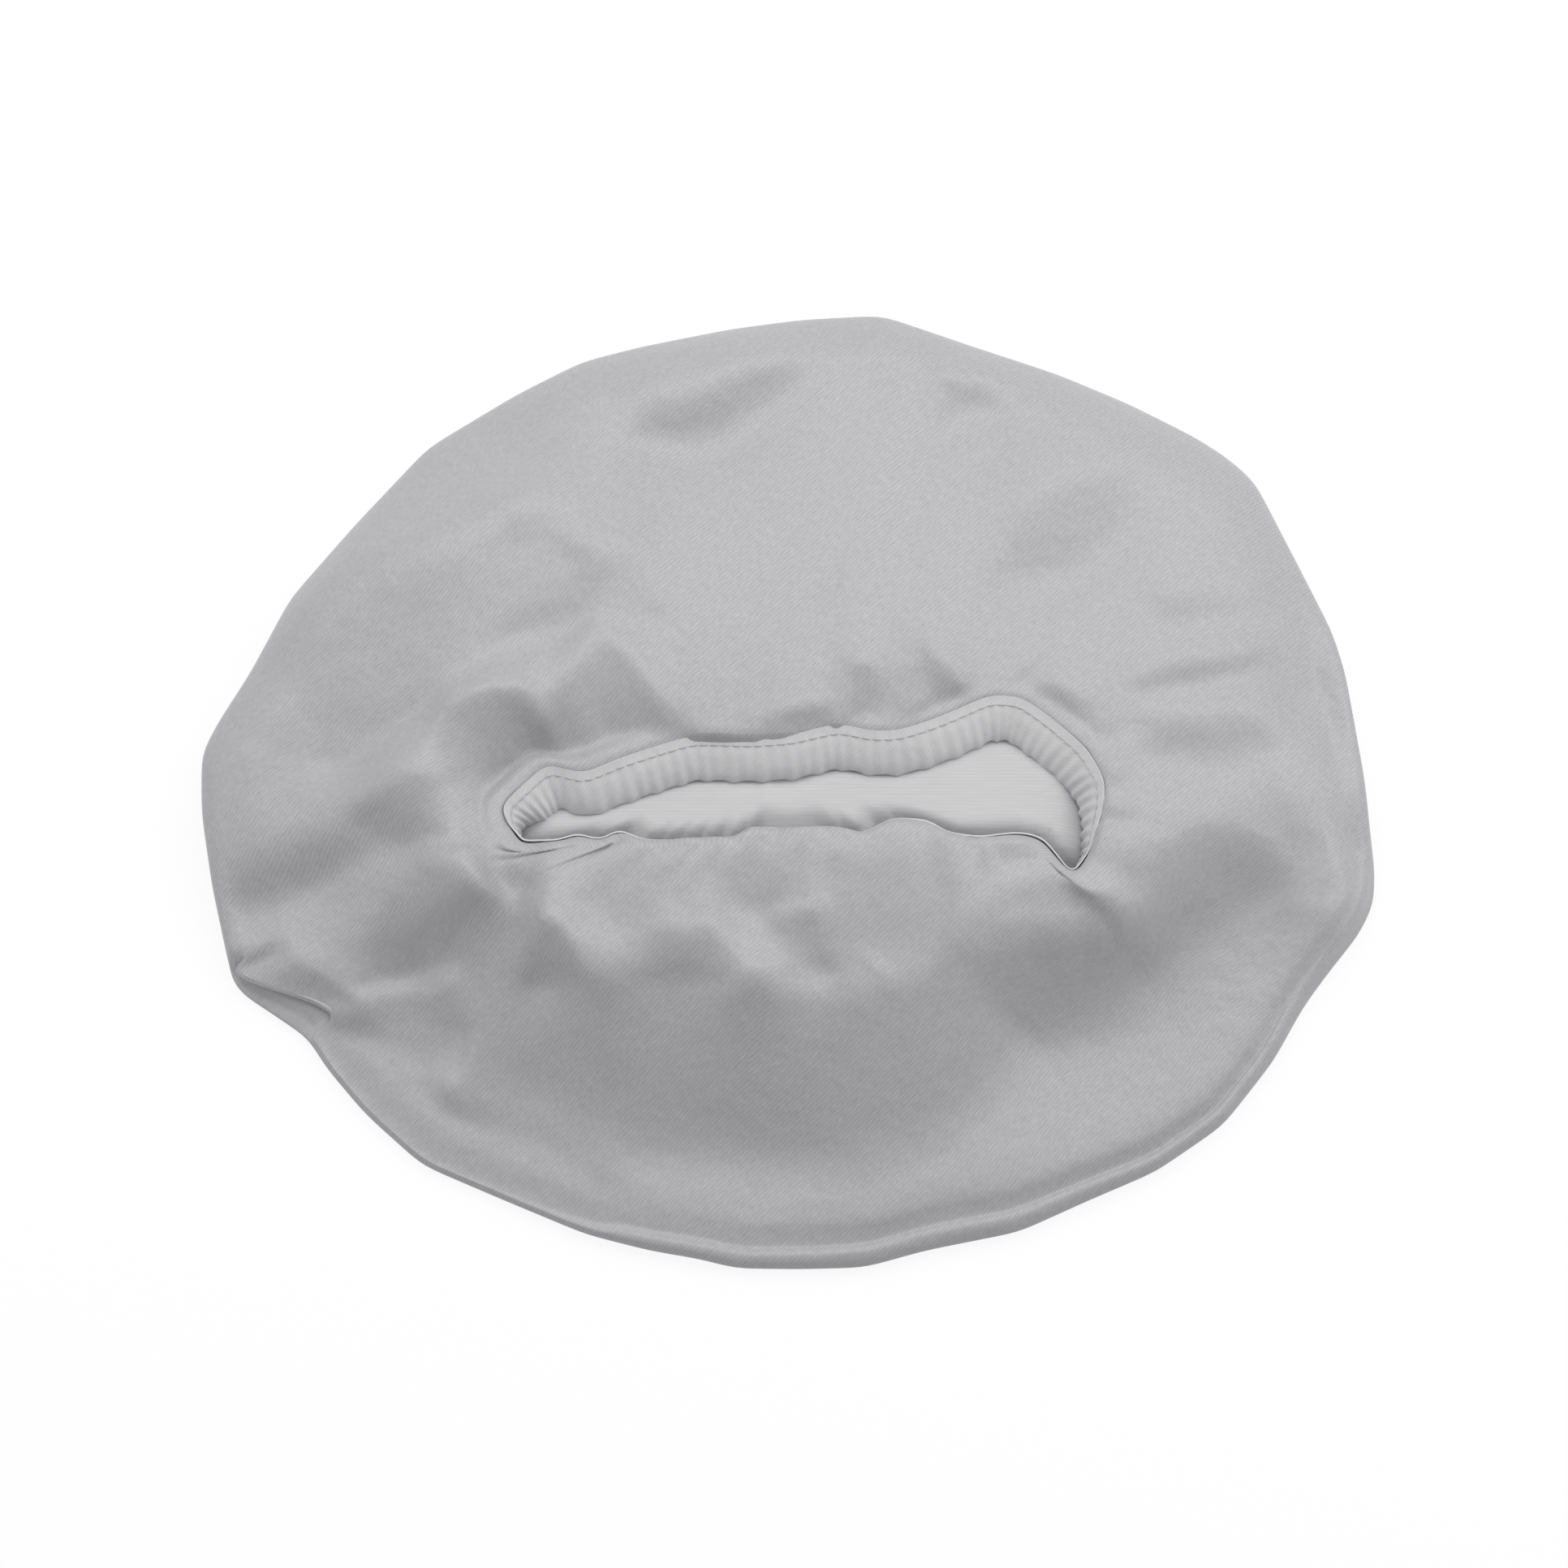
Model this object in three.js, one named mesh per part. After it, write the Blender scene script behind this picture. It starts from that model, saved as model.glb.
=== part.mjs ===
// A lined satin shower cap. It lies on its crown, with the gathered elastic mouth facing up.
// Millimetres. The origin is on the table under the middle of the cap. +X runs along the mouth,
// +Y to the back of the cap and +Z up, out of the mouth.
import * as THREE from "three";

// The cap as it lies
const CAP_LENGTH = 300;
const CAP_DEPTH = 254;
const CREST_HEIGHT = 33; // table to the top of the puffed ring round the mouth

// The mouth, measured at the edge of the cloth with the elastic relaxed. Its front runs straight
// along X and its back slants, so that it is wider at the right.
const MOUTH_LENGTH = 152;
const MOUTH_LEFT_WIDTH = 19;
const MOUTH_RIGHT_WIDTH = 34;
const MOUTH_SHIFT = 5; // its middle lies this far to the right of the cap's middle
const MOUTH_SETBACK = -6; // and the middle of its right end this far to the back

// From the crest the hem turns in to the cloth's edge. At the front it hangs straight down there, and at
// the back it lies aslant with its face up.
const HEM_TURN = 3;
const HEM_DROP_FRONT = 8.8;
const HEM_DROP_BACK = 6;
const HEM_SLANT_BACK = 45; // degrees from hanging
const CREST_WIDTH = 4;

// Cloth layers, from the outside in, with the air between them
const SATIN_THICKNESS = 0.4;
const FILM_THICKNESS = 0.25;
const LINING_THICKNESS = 0.4;
const LAYER_GAP = 0.3;
const LINING_LIFT = 4; // the loose lining rises off the crown in the middle

// The rim: a rolled lip along the front and a puffed roll round the back
const LIP_WIDTH = 8;
const LIP_RIDGE = 0.8; // the lip stands above the groove behind it
const LIP_ROOM = 1.6; // air inside the lip under the groove
const ROLL_RADIUS = 8;
const SHOULDER_INSET = 16; // rim to where the cloth eases into the slope up to the crest
const SHOULDER_FRONT = 7;
const SHOULDER_BACK = 19.5;

// Where the back turns into the front, from the first sign to the last. These are shares of half the
// cap's depth, in front of its middle.
const LIP_STARTS = { left: [0.3, 0.66], right: [0.12, 0.48] };
const SHELF_STARTS = { left: [0.43, 0.91], right: [0, 0.75] };
const SLOPE_STARTS = [-0.24, 0.67];

// The way from the shoulder to the crest: a long rise at the back, and at the front a shelf, a steep
// slope and a level brow. To the sides the front's steep slope stands higher, close under the crest.
const BACK_WAYS = [0.2, 0.5, 0.78];
const FRONT_WAYS = [0.12, 0.33, 0.57];
const FRONT_RISES = [0.05, 0.45, 0.93];
const STEEP_MOVES = { left: 0.2, right: 0.3 };

// The large folds: where they lie, how far they reach along and across, and how high they stand
const FOLDS = [
  { x: 75, y: -44, long: 32, wide: 13, rise: 4.5 },
  { x: 105, y: -42, long: 20, wide: 32, rise: -6 },
  { x: 125, y: 62, long: 22, wide: 24, rise: 6 },
  { x: -76, y: 57, long: 34, wide: 32, rise: 5.4 },
  { x: -109, y: -24, long: 27, wide: 34, rise: -6.4 },
  { x: -73, y: -35, long: 14, wide: 24, rise: -8 },
  { x: -44, y: -79, long: 46, wide: 22, rise: -5 },
  { x: 0, y: -50, long: 60, wide: 14, rise: 3 },
  { x: -126, y: -58, long: 20, wide: 22, rise: -3.5 },
];

// The gathers that the elastic draws round the mouth
const GATHER_COUNT = 12;
const GATHER_HEIGHT = 1.6; // at the crest, and fading towards the rim
const GATHER_WANDER = 0.9; // radians by which the gathers stray from even spacing

// The casing that binds the edge of the layers and holds the elastic
const HEM_TUCK = 3; // how far the layers reach into the casing
const CASING_WALL = 0.4;
const RUFFLE_DEPTH = 1.2; // how far the gathered tape swells and shrinks round the elastic
const CASING_CLEAR = 0.3;
const ELASTIC_WIDTH = 6;
const ELASTIC_THICKNESS = 0.8;
const ELASTIC_GAP = 0.3; // between the overlapping ends
const OVERLAP_STEPS = 2; // length of the overlap, in steps round the mouth

// Sewing thread
const THREAD_DIAMETER = 0.5;
const THREAD_CLEAR = 0.3;
const THREAD_SIDES = 6;
const SEAM_FROM_EDGE = 1.4; // seam line to the casing's sewn edge
const TACK_ZIGS = 6;
const TACK_PITCH = 1.5;
const TACK_MARGIN = 0.8; // zigzag to the edges of the elastic

// The outline is an ellipse that swells and draws in where the cloth happens to lie.
// "at" and "width" are degrees round from +X, and "out" is in millimetres.
const RIM_SWELLS = [
  { at: 12, width: 11, out: -2.3 },
  { at: 36, width: 8, out: 3.8 },
  { at: 79, width: 6, out: 1.6 },
  { at: 146, width: 34, out: -10.2 },
  { at: 199, width: 6, out: 4.0 },
  { at: 208, width: 6, out: -4.0 },
  { at: 240, width: 12, out: -2.0 },
  { at: 320, width: 9, out: 2.0 },
  { at: 337, width: 6, out: -2.4 },
  { at: 350, width: 6, out: 3.8 },
];

const { lerp, clamp, smoothstep, degToRad, euclideanModulo } = THREE.MathUtils;
const STACK = SATIN_THICKNESS + FILM_THICKNESS + LINING_THICKNESS + 2 * LAYER_GAP;
const STEPS = 4 * GATHER_COUNT;
const BACK_STEP = STEPS / 4; // the step at the middle of the back
const TURN = 2 * Math.PI;
const ring = Array.from({ length: STEPS }, (_, step) => step);

// Outline

function swellAt(bearing) {
  let out = 0;
  for (const swell of RIM_SWELLS) {
    const away = euclideanModulo(bearing - swell.at + 180, 360) - 180;
    out += swell.out * Math.exp(-((away / swell.width) ** 2));
  }
  return out;
}

function rimOutline() {
  const points = ring.map((step) => {
    const angle = (step / STEPS) * TURN;
    const point = new THREE.Vector2((CAP_LENGTH / 2) * Math.cos(angle), (CAP_DEPTH / 2) * Math.sin(angle));
    return point.setLength(point.length() + swellAt((point.angle() / TURN) * 360));
  });
  // the swells leave the box a little off, so it is set back to the cap's length and depth
  const box = new THREE.Box2().setFromPoints(points);
  const fit = new THREE.Vector2(CAP_LENGTH, CAP_DEPTH).divide(box.getSize(new THREE.Vector2()));
  const middle = box.getCenter(new THREE.Vector2());
  return points.map((point) => point.sub(middle).multiply(fit));
}

// The edge of the cloth at the mouth is a tapered slot with round ends
function mouthSlot() {
  const small = MOUTH_LEFT_WIDTH / 2;
  const large = MOUTH_RIGHT_WIDTH / 2;
  const left = new THREE.Vector2(MOUTH_SHIFT - MOUTH_LENGTH / 2 + small, MOUTH_SETBACK + small - large);
  const right = new THREE.Vector2(MOUTH_SHIFT + MOUTH_LENGTH / 2 - large, MOUTH_SETBACK);
  // the back slants twice as much as the line between the middles of the ends
  const slant = 2 * right.clone().sub(left).angle();
  const slot = new THREE.Path();
  slot.absarc(right.x, right.y, large, 0, TURN / 4 + slant);
  slot.absarc(left.x, left.y, small, TURN / 4 + slant, (3 * TURN) / 4);
  slot.absarc(right.x, right.y, large, (3 * TURN) / 4, TURN);
  return slot;
}

// A frame at each step round the edge: along the edge, down the hem, out of its face, and out in plan
function hemFrames() {
  const slot = mouthSlot();
  return ring.map((step) => {
    const at = slot.getPoint(step / STEPS);
    const tangent = slot.getTangent(step / STEPS);
    const along = new THREE.Vector3(tangent.x, tangent.y, 0);
    const away = new THREE.Vector3(tangent.y, -tangent.x, 0);
    const front = smoothstep(-away.y, -1, 1);
    const slant = degToRad(lerp(HEM_SLANT_BACK, 0, front));
    const down = away.clone().multiplyScalar(-Math.sin(slant));
    down.z = -Math.cos(slant);
    const face = new THREE.Vector3().crossVectors(along, down);
    const edge = new THREE.Vector3(at.x, at.y, CREST_HEIGHT - lerp(HEM_DROP_BACK, HEM_DROP_FRONT, front));
    return { edge, along, down, face, away };
  });
}

const rim = rimOutline();
const hem = hemFrames();

// Outer face of the cloth

// How far the place on the rim has turned from the back, 0, into the front, 1
function turned(point, [first, last]) {
  return smoothstep(-point.y / (CAP_DEPTH / 2), first, last);
}

// Inset from the rim and height, from the table round the rim to the shoulder
function rimSection(point) {
  const side = point.x < 0 ? "left" : "right";
  const groove = 2 * STACK + LIP_ROOM;
  const lip = groove + LIP_RIDGE;
  const roll = (degrees) => [
    ROLL_RADIUS * (1 - Math.cos(degToRad(degrees))),
    ROLL_RADIUS * (1 + Math.sin(degToRad(degrees))),
  ];
  const frontSection = [
    [LIP_WIDTH / 2, 0],
    [0, lip / 2],
    [LIP_WIDTH / 2, lip],
    [LIP_WIDTH, groove],
    [SHOULDER_INSET, SHOULDER_FRONT],
  ];
  const backSection = [roll(-90), roll(0), roll(45), roll(80), [SHOULDER_INSET, SHOULDER_BACK]];
  return frontSection.map(([inset, height], k) => {
    const front = turned(point, k < 4 ? LIP_STARTS[side] : SHELF_STARTS[side]);
    return [lerp(backSection[k][0], inset, front), lerp(backSection[k][1], height, front)];
  });
}

function foldAt({ x, y }) {
  let rise = 0;
  for (const fold of FOLDS) {
    rise += fold.rise * Math.exp(-(((x - fold.x) / fold.long) ** 2) - ((y - fold.y) / fold.wide) ** 2);
  }
  return rise;
}

function gatherAt(step) {
  const angle = (step / STEPS) * TURN;
  return Math.sin(GATHER_COUNT * angle + GATHER_WANDER * Math.sin(2 * angle));
}

// One line of cloth, from the middle of the crown out to the rim, over it and in to the mouth's edge
function meridian(step) {
  const { edge, down, away } = hem[step];
  const start = new THREE.Vector3(rim[step].x, rim[step].y, 0);
  const brow = edge.clone().addScaledVector(away, HEM_TURN);
  const crest = brow.clone().addScaledVector(away, CREST_WIDTH);
  crest.z = CREST_HEIGHT;
  brow.z = CREST_HEIGHT - CREST_WIDTH / 4;
  const inward = new THREE.Vector3(crest.x - start.x, crest.y - start.y, 0).normalize();
  const gather = GATHER_HEIGHT * gatherAt(step);
  const up = new THREE.Vector3(0, 0, 1);

  const line = [start.clone().multiplyScalar(0.55)];
  for (const [inset, height] of rimSection(start)) {
    line.push(start.clone().addScaledVector(inward, inset).addScaledVector(up, height));
  }
  const shoulder = line[line.length - 1];
  const front = turned(start, SLOPE_STARTS);
  const side = start.x / (CAP_LENGTH / 2);
  const moved = STEEP_MOVES.right * smoothstep(side, 0.2, 0.6) + STEEP_MOVES.left * smoothstep(-side, 0.63, 0.83);
  BACK_WAYS.forEach((backWay, k) => {
    const way = lerp(backWay, FRONT_WAYS[k] + moved, front);
    const rise = lerp(Math.sin((way * TURN) / 4), FRONT_RISES[k], front);
    const point = shoulder.clone().lerp(crest, way);
    point.z = lerp(shoulder.z, crest.z, rise) + gather * rise + foldAt(point);
    line.push(point);
  });
  line.push(crest.addScaledVector(up, gather));
  line.push(brow.addScaledVector(up, gather));
  line.push(edge.clone().addScaledVector(down, -HEM_TUCK - CASING_CLEAR));
  line.push(edge.clone());
  return line;
}

const lines = ring.map(meridian);
const ROWS = lines[0].length;

function normalAt(step, row) {
  const around = new THREE.Vector3().subVectors(
    lines[(step + 1) % STEPS][row],
    lines[(step + STEPS - 1) % STEPS][row],
  );
  const inward = new THREE.Vector3().subVectors(
    lines[step][Math.min(row + 1, ROWS - 1)],
    lines[step][Math.max(row - 1, 0)],
  );
  return around.cross(inward).normalize();
}

// Solids

// Joins closed loops of points, one after another. A loop of one point closes the skin to that point.
// "around" joins the last loop to the first, and otherwise both ends are capped. From the turning
// loop on, quads are split the other way, so that faces that lie side by side are creased alike.
function loft(loops, { around = false, turning = loops.length } = {}) {
  const position = loops.flat().flatMap((point) => point.toArray());
  const first = loops.map((_, s) => loops.slice(0, s).flat().length);
  const corner = (s, k) => first[s % loops.length] + (k % loops[s % loops.length].length);
  const index = [];
  const joins = around ? loops.length : loops.length - 1;
  const sides = Math.max(...loops.map((loop) => loop.length));
  for (let s = 0; s < joins; s++) {
    for (let k = 0; k < sides; k++) {
      const [a, b, c, d] = [corner(s, k), corner(s, k + 1), corner(s + 1, k + 1), corner(s + 1, k)];
      const halves = s < turning ? [[a, b, c], [a, c, d]] : [[a, b, d], [b, c, d]];
      for (const half of halves) {
        if (new Set(half).size === 3) index.push(...half);
      }
    }
  }
  if (!around && loops[0].length > 1) {
    const end = loops.length - 1;
    for (let k = 1; k + 1 < sides; k++) {
      index.push(corner(0, 0), corner(0, k + 1), corner(0, k));
      index.push(corner(end, 0), corner(end, k), corner(end, k + 1));
    }
  }
  const geometry = new THREE.BufferGeometry();
  geometry.setAttribute("position", new THREE.Float32BufferAttribute(position, 3));
  geometry.setIndex(index);
  return geometry;
}

// A bag of one cloth layer, lying this deep under the outer face
function layer(depth, thickness, lift) {
  const pole = (under) => [new THREE.Vector3(0, 0, under + lift)];
  const sheet = (under) => {
    const rows = [];
    for (let row = 0; row < ROWS; row++) {
      rows.push(ring.map((step) => lines[step][row].clone().addScaledVector(normalAt(step, row), -under)));
    }
    for (const point of rows[0]) point.z += lift / 2;
    return rows;
  };
  const outer = sheet(depth);
  const inner = sheet(depth + thickness).reverse();
  return loft([pole(depth), ...outer, ...inner, pole(depth + thickness)], { turning: ROWS + 1 });
}

// Sizes across the casing, from the middle of the layers' edge
const ELASTIC_SPREAD = (ELASTIC_THICKNESS + ELASTIC_GAP) / 2;
const TACK_ROOM = THREAD_CLEAR + THREAD_DIAMETER;
const ELASTIC_MIDDLE = -TACK_ROOM / 2;
const CASING_HALF = ELASTIC_SPREAD + ELASTIC_THICKNESS / 2 + TACK_ROOM / 2 + CASING_CLEAR;
const CASING_NECK = STACK / 2 + CASING_CLEAR;
const CASING_FLOOR = ELASTIC_WIDTH + 2 * CASING_CLEAR;

// A point beside the hem: this far out of the middle of the layers' edge, and this far below it
function besideHem(step, out, below) {
  const { edge, face, down } = hem[step];
  return edge.clone().addScaledVector(face, out - STACK / 2).addScaledVector(down, below);
}

// A folded tape, open where the layers enter it and bunched up round the elastic below
function casing() {
  const loops = ring.map((step) => {
    const half = CASING_HALF + (RUFFLE_DEPTH * (1 + gatherAt(step))) / 2;
    const floor = CASING_FLOOR + (RUFFLE_DEPTH * (1 - gatherAt(step))) / 2;
    const inside = [
      [CASING_NECK, -HEM_TUCK],
      [half, CASING_CLEAR],
      [half, floor],
    ];
    const outside = [
      [half + CASING_WALL, floor + CASING_WALL],
      [half + CASING_WALL, CASING_CLEAR],
      [CASING_NECK + CASING_WALL, -HEM_TUCK],
    ];
    const mirrored = (points) => points.map(([out, below]) => [-out, below]).reverse();
    const section = [...inside, ...mirrored(inside), ...mirrored(outside), ...outside];
    return section.map(([out, below]) => besideHem(step, out, below));
  });
  return loft(loops, { around: true });
}

// The elastic starts at the middle of the back, runs once round and ends over its own start
function elastic() {
  const loops = [];
  for (let k = 0; k <= STEPS + OVERLAP_STEPS; k++) {
    const climb = clamp((k - OVERLAP_STEPS) / (STEPS - OVERLAP_STEPS), 0, 1);
    const middle = ELASTIC_MIDDLE + lerp(-ELASTIC_SPREAD, ELASTIC_SPREAD, climb);
    const [low, high] = [middle - ELASTIC_THICKNESS / 2, middle + ELASTIC_THICKNESS / 2];
    const [top, bottom] = [CASING_CLEAR, CASING_CLEAR + ELASTIC_WIDTH];
    const section = [[high, bottom], [high, top], [low, top], [low, bottom]];
    const step = (BACK_STEP + k) % STEPS;
    loops.push(section.map(([out, below]) => besideHem(step, out, below)));
  }
  return loft(loops, { turning: 0 });
}

// A zigzag of thread across the overlap, on its outer face
function tack() {
  const reach = ELASTIC_WIDTH / 2 - TACK_MARGIN - THREAD_DIAMETER;
  const zigzag = [];
  for (let zig = 0; zig <= TACK_ZIGS; zig++) {
    zigzag.push(new THREE.Vector2((zig - TACK_ZIGS / 2) * TACK_PITCH, zig % 2 ? reach : -reach));
  }
  const upper = zigzag.map((point) => new THREE.Vector2(point.x, point.y + THREAD_DIAMETER));
  const lower = zigzag.map((point) => new THREE.Vector2(point.x, point.y - THREAD_DIAMETER));
  const shape = new THREE.Shape([...lower, ...upper.reverse()]);
  const geometry = new THREE.ExtrudeGeometry(shape, { depth: THREAD_DIAMETER, bevelEnabled: false });

  const out = ELASTIC_MIDDLE + ELASTIC_SPREAD + ELASTIC_THICKNESS / 2 + THREAD_CLEAR;
  const below = CASING_CLEAR + ELASTIC_WIDTH / 2;
  const { along, down, face } = hem[BACK_STEP];
  const place = new THREE.Matrix4().makeBasis(along, down, face);
  const ends = [BACK_STEP, BACK_STEP + OVERLAP_STEPS].map((step) => besideHem(step, out, below));
  place.setPosition(ends[0].lerp(ends[1], 0.5));
  return geometry.applyMatrix4(place);
}

// A round thread along the seam, on one side of the casing
function seamThread(side) {
  const slope = (CASING_HALF + RUFFLE_DEPTH - CASING_NECK) / (HEM_TUCK + CASING_CLEAR);
  const radius = THREAD_DIAMETER / 2;
  const out = CASING_NECK + CASING_WALL + slope * (SEAM_FROM_EDGE + radius) + THREAD_CLEAR + radius;
  const loops = ring.map((step) => {
    const loop = [];
    for (let corner = 0; corner < THREAD_SIDES; corner++) {
      const angle = (corner / THREAD_SIDES) * TURN;
      const below = SEAM_FROM_EDGE - HEM_TUCK - radius * Math.sin(angle);
      loop.push(besideHem(step, side * out + radius * Math.cos(angle), below));
    }
    return loop;
  });
  return loft(loops, { around: true });
}

const cap = new THREE.Group();

function add(name, geometry, color, roughness) {
  geometry.computeVertexNormals();
  const material = new THREE.MeshStandardMaterial({ color, roughness, metalness: 0 });
  const mesh = new THREE.Mesh(geometry, material);
  mesh.name = name;
  cap.add(mesh);
}

add("outer_shell", layer(0, SATIN_THICKNESS, 0), 0xb4b4b7, 0.45);
add("waterproof_film", layer(SATIN_THICKNESS + LAYER_GAP, FILM_THICKNESS, 0), 0xe4e8ea, 0.3);
add("inner_lining", layer(STACK - LINING_THICKNESS, LINING_THICKNESS, LINING_LIFT), 0xd4d4d6, 0.6);
add("hem_casing", casing(), 0xd8d8da, 0.6);
add("elastic_band", elastic(), 0xf0efec, 0.7);
add("elastic_join_tack", tack(), 0xe8e8e6, 0.6);
add("needle_thread", seamThread(1), 0xb8b8bb, 0.6);
add("bobbin_thread", seamThread(-1), 0xb8b8bb, 0.6);

export default cap;
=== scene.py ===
# %% [markdown]
# # A lined satin shower cap, lying on its crown
# The cap is a round of grey satin with a thin waterproof film and a pale lining inside it. A tape binds its
# edge and holds an elastic, which draws the mouth together. The imported CAD model gives the place of every
# piece, so it is loaded first.

# %% Load the imported model
import math

import bpy
import numpy as np
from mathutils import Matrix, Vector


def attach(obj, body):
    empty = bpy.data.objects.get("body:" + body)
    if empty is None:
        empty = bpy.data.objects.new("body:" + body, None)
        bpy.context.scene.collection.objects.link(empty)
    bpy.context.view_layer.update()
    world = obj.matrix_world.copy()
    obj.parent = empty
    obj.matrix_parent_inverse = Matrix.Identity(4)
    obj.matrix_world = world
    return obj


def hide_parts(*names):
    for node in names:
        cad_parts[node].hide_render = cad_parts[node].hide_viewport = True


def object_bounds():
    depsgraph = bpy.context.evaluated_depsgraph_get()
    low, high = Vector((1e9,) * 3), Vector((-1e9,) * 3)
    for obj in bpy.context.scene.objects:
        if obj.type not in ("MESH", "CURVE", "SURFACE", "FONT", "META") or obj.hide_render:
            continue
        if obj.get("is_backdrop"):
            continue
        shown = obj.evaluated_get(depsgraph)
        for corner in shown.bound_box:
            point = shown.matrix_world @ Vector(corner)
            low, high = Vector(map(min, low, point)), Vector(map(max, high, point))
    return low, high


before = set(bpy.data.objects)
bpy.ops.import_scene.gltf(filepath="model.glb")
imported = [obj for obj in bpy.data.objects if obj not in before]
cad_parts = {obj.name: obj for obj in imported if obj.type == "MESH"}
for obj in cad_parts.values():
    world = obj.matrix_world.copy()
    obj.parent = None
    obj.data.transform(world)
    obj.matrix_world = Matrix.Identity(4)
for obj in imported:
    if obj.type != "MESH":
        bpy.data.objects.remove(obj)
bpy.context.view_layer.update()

MM = 0.001  # m

# %% [markdown]
# ## The camera
# The photograph looks down at the cap, a little from the front, through a long lens. A camera 72 degrees above
# the table shows the near lip of the mouth on edge and the far side of the hem, as the photograph does. Places
# are read in the photograph's pixels, so one helper casts a pixel's ray down to a known height, and another
# gives the place in the picture where a point of the cap is seen.

# %% Set the camera
ELEVATION = math.radians(72)
LENS, SENSOR = 200, 36  # mm
PICTURE = 1932  # pixels across and down
MM_PER_PIXEL = 300 / 1447  # the cap is 300 mm and 1447 pixels wide
AIM = np.array([-0.8, -2.9, 15.0])  # mm, the point in the middle of the picture
RIGHT = np.array([1, 0, 0])
UP = np.array([0, math.sin(ELEVATION), math.cos(ELEVATION)])
TOWARDS = np.array([0, -math.cos(ELEVATION), math.sin(ELEVATION)])
DISTANCE = PICTURE * MM_PER_PIXEL / SENSOR * LENS
EYE = AIM + DISTANCE * TOWARDS


def as_seen(pixels):
    """Millimetres right of and above the middle of the picture."""
    return (np.array(pixels, float) - PICTURE / 2) * (MM_PER_PIXEL, -MM_PER_PIXEL)


def on_plan(pixels, height):
    """Plan x and y, in mm, of points that are seen at these pixels and lie at this height."""
    seen = as_seen(pixels)
    ray = seen[:, :1] * RIGHT + seen[:, 1:] * UP - DISTANCE * TOWARDS
    return (EYE + ray * (height - EYE[2]) / ray[:, 2:])[:, :2]


def seen_places(points):
    """As-seen x and up, in mm, of points of the cap."""
    from_aim = points - AIM
    nearer = DISTANCE / (DISTANCE - from_aim @ TOWARDS)
    return from_aim @ RIGHT * nearer, from_aim @ UP * nearer


camera_data = bpy.data.cameras.new("camera")
camera_data.lens = LENS
camera = bpy.data.objects.new("camera", camera_data)
camera.location = EYE * MM
camera.rotation_euler = (math.pi / 2 - ELEVATION, 0, 0)
bpy.context.scene.collection.objects.link(camera)
bpy.context.scene.camera = camera
print("camera", [round(x, 3) for x in camera.location])

# %% [markdown]
# ## Nodes and colours
# Every material here is a small tree of nodes. One function adds a node with its settings and its links, and
# one turns a hex colour, as it is read on a screen, into the linear values that Blender works with.

# %% Helpers for the node trees
def add_node(tree, kind, inputs=None, **settings):
    """Adds one node. An input given as a socket is linked, and one given as a value is set."""
    made = tree.nodes.new(kind)
    for name, value in settings.items():
        setattr(made, name, value)
    for name, value in (inputs or {}).items():
        if isinstance(value, bpy.types.NodeSocket):
            tree.links.new(value, made.inputs[name])
        else:
            made.inputs[name].default_value = value
    return made


def colour(hexed):
    """Linear colour of an sRGB hex value such as b4b4b7."""
    parts = [int(hexed[k : k + 2], 16) / 255 for k in (0, 2, 4)]
    return [c / 12.92 if c <= 0.04045 else ((c + 0.055) / 1.055) ** 2.4 for c in parts] + [1.0]


def new_material(name):
    """An empty material and its node tree."""
    material = bpy.data.materials.new(name)
    material.use_nodes = True
    material.node_tree.nodes.clear()
    return material, material.node_tree


def mix_in(tree, pattern, share, base):
    """So much of one pattern on top of another."""
    return add_node(tree, "ShaderNodeMath", {0: pattern, 1: share, 2: base}, operation="MULTIPLY_ADD").outputs[0]


print("mid grey b4b4b7 is", [round(c, 3) for c in colour("b4b4b7")[:3]], "in linear values")

# %% [markdown]
# ## Table and light
# The photograph has a plain white ground and one broad soft light from beyond the top of the picture: slopes
# that face the back are bright and those that face the camera are dark. A large lamp stands there as the key,
# two weak ones light the slopes that face the sides, and the world fills the rest. The table is a white sheet.
# For the camera most of its white is its own, so that only a faint shadow of the cap is left on it.

# %% Make the table
WHITE = (1, 1, 1, 1)
WORLD_FILL = 0.455  # strength of the world's light on the cap
TABLE_SIZE, TABLE_DROP = 6, 0.3 * MM  # m, across and below the cap
OWN_SHARE, OWN_STRENGTH = 0.86, 1.03  # how much of the table's white is its own, and how strong that is


def white_for_camera(tree):
    """1 where the camera looks straight, in a gloss or through glass, and otherwise 0."""
    path = add_node(tree, "ShaderNodeLightPath")
    looks = path.outputs["Is Camera Ray"]
    for kind in ("Is Glossy Ray", "Is Transmission Ray"):
        looks = {0: looks, 1: path.outputs[kind]}
        looks = add_node(tree, "ShaderNodeMath", looks, operation="MAXIMUM").outputs[0]
    return looks


world = bpy.data.worlds.new("studio")
world.use_nodes = True
tree = world.node_tree
tree.nodes.clear()
strength = mix_in(tree, white_for_camera(tree), 1 - WORLD_FILL, WORLD_FILL)
sky = add_node(tree, "ShaderNodeBackground", {"Color": WHITE, "Strength": strength})
add_node(tree, "ShaderNodeOutputWorld", {"Surface": sky.outputs[0]})
bpy.context.scene.world = world

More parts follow.
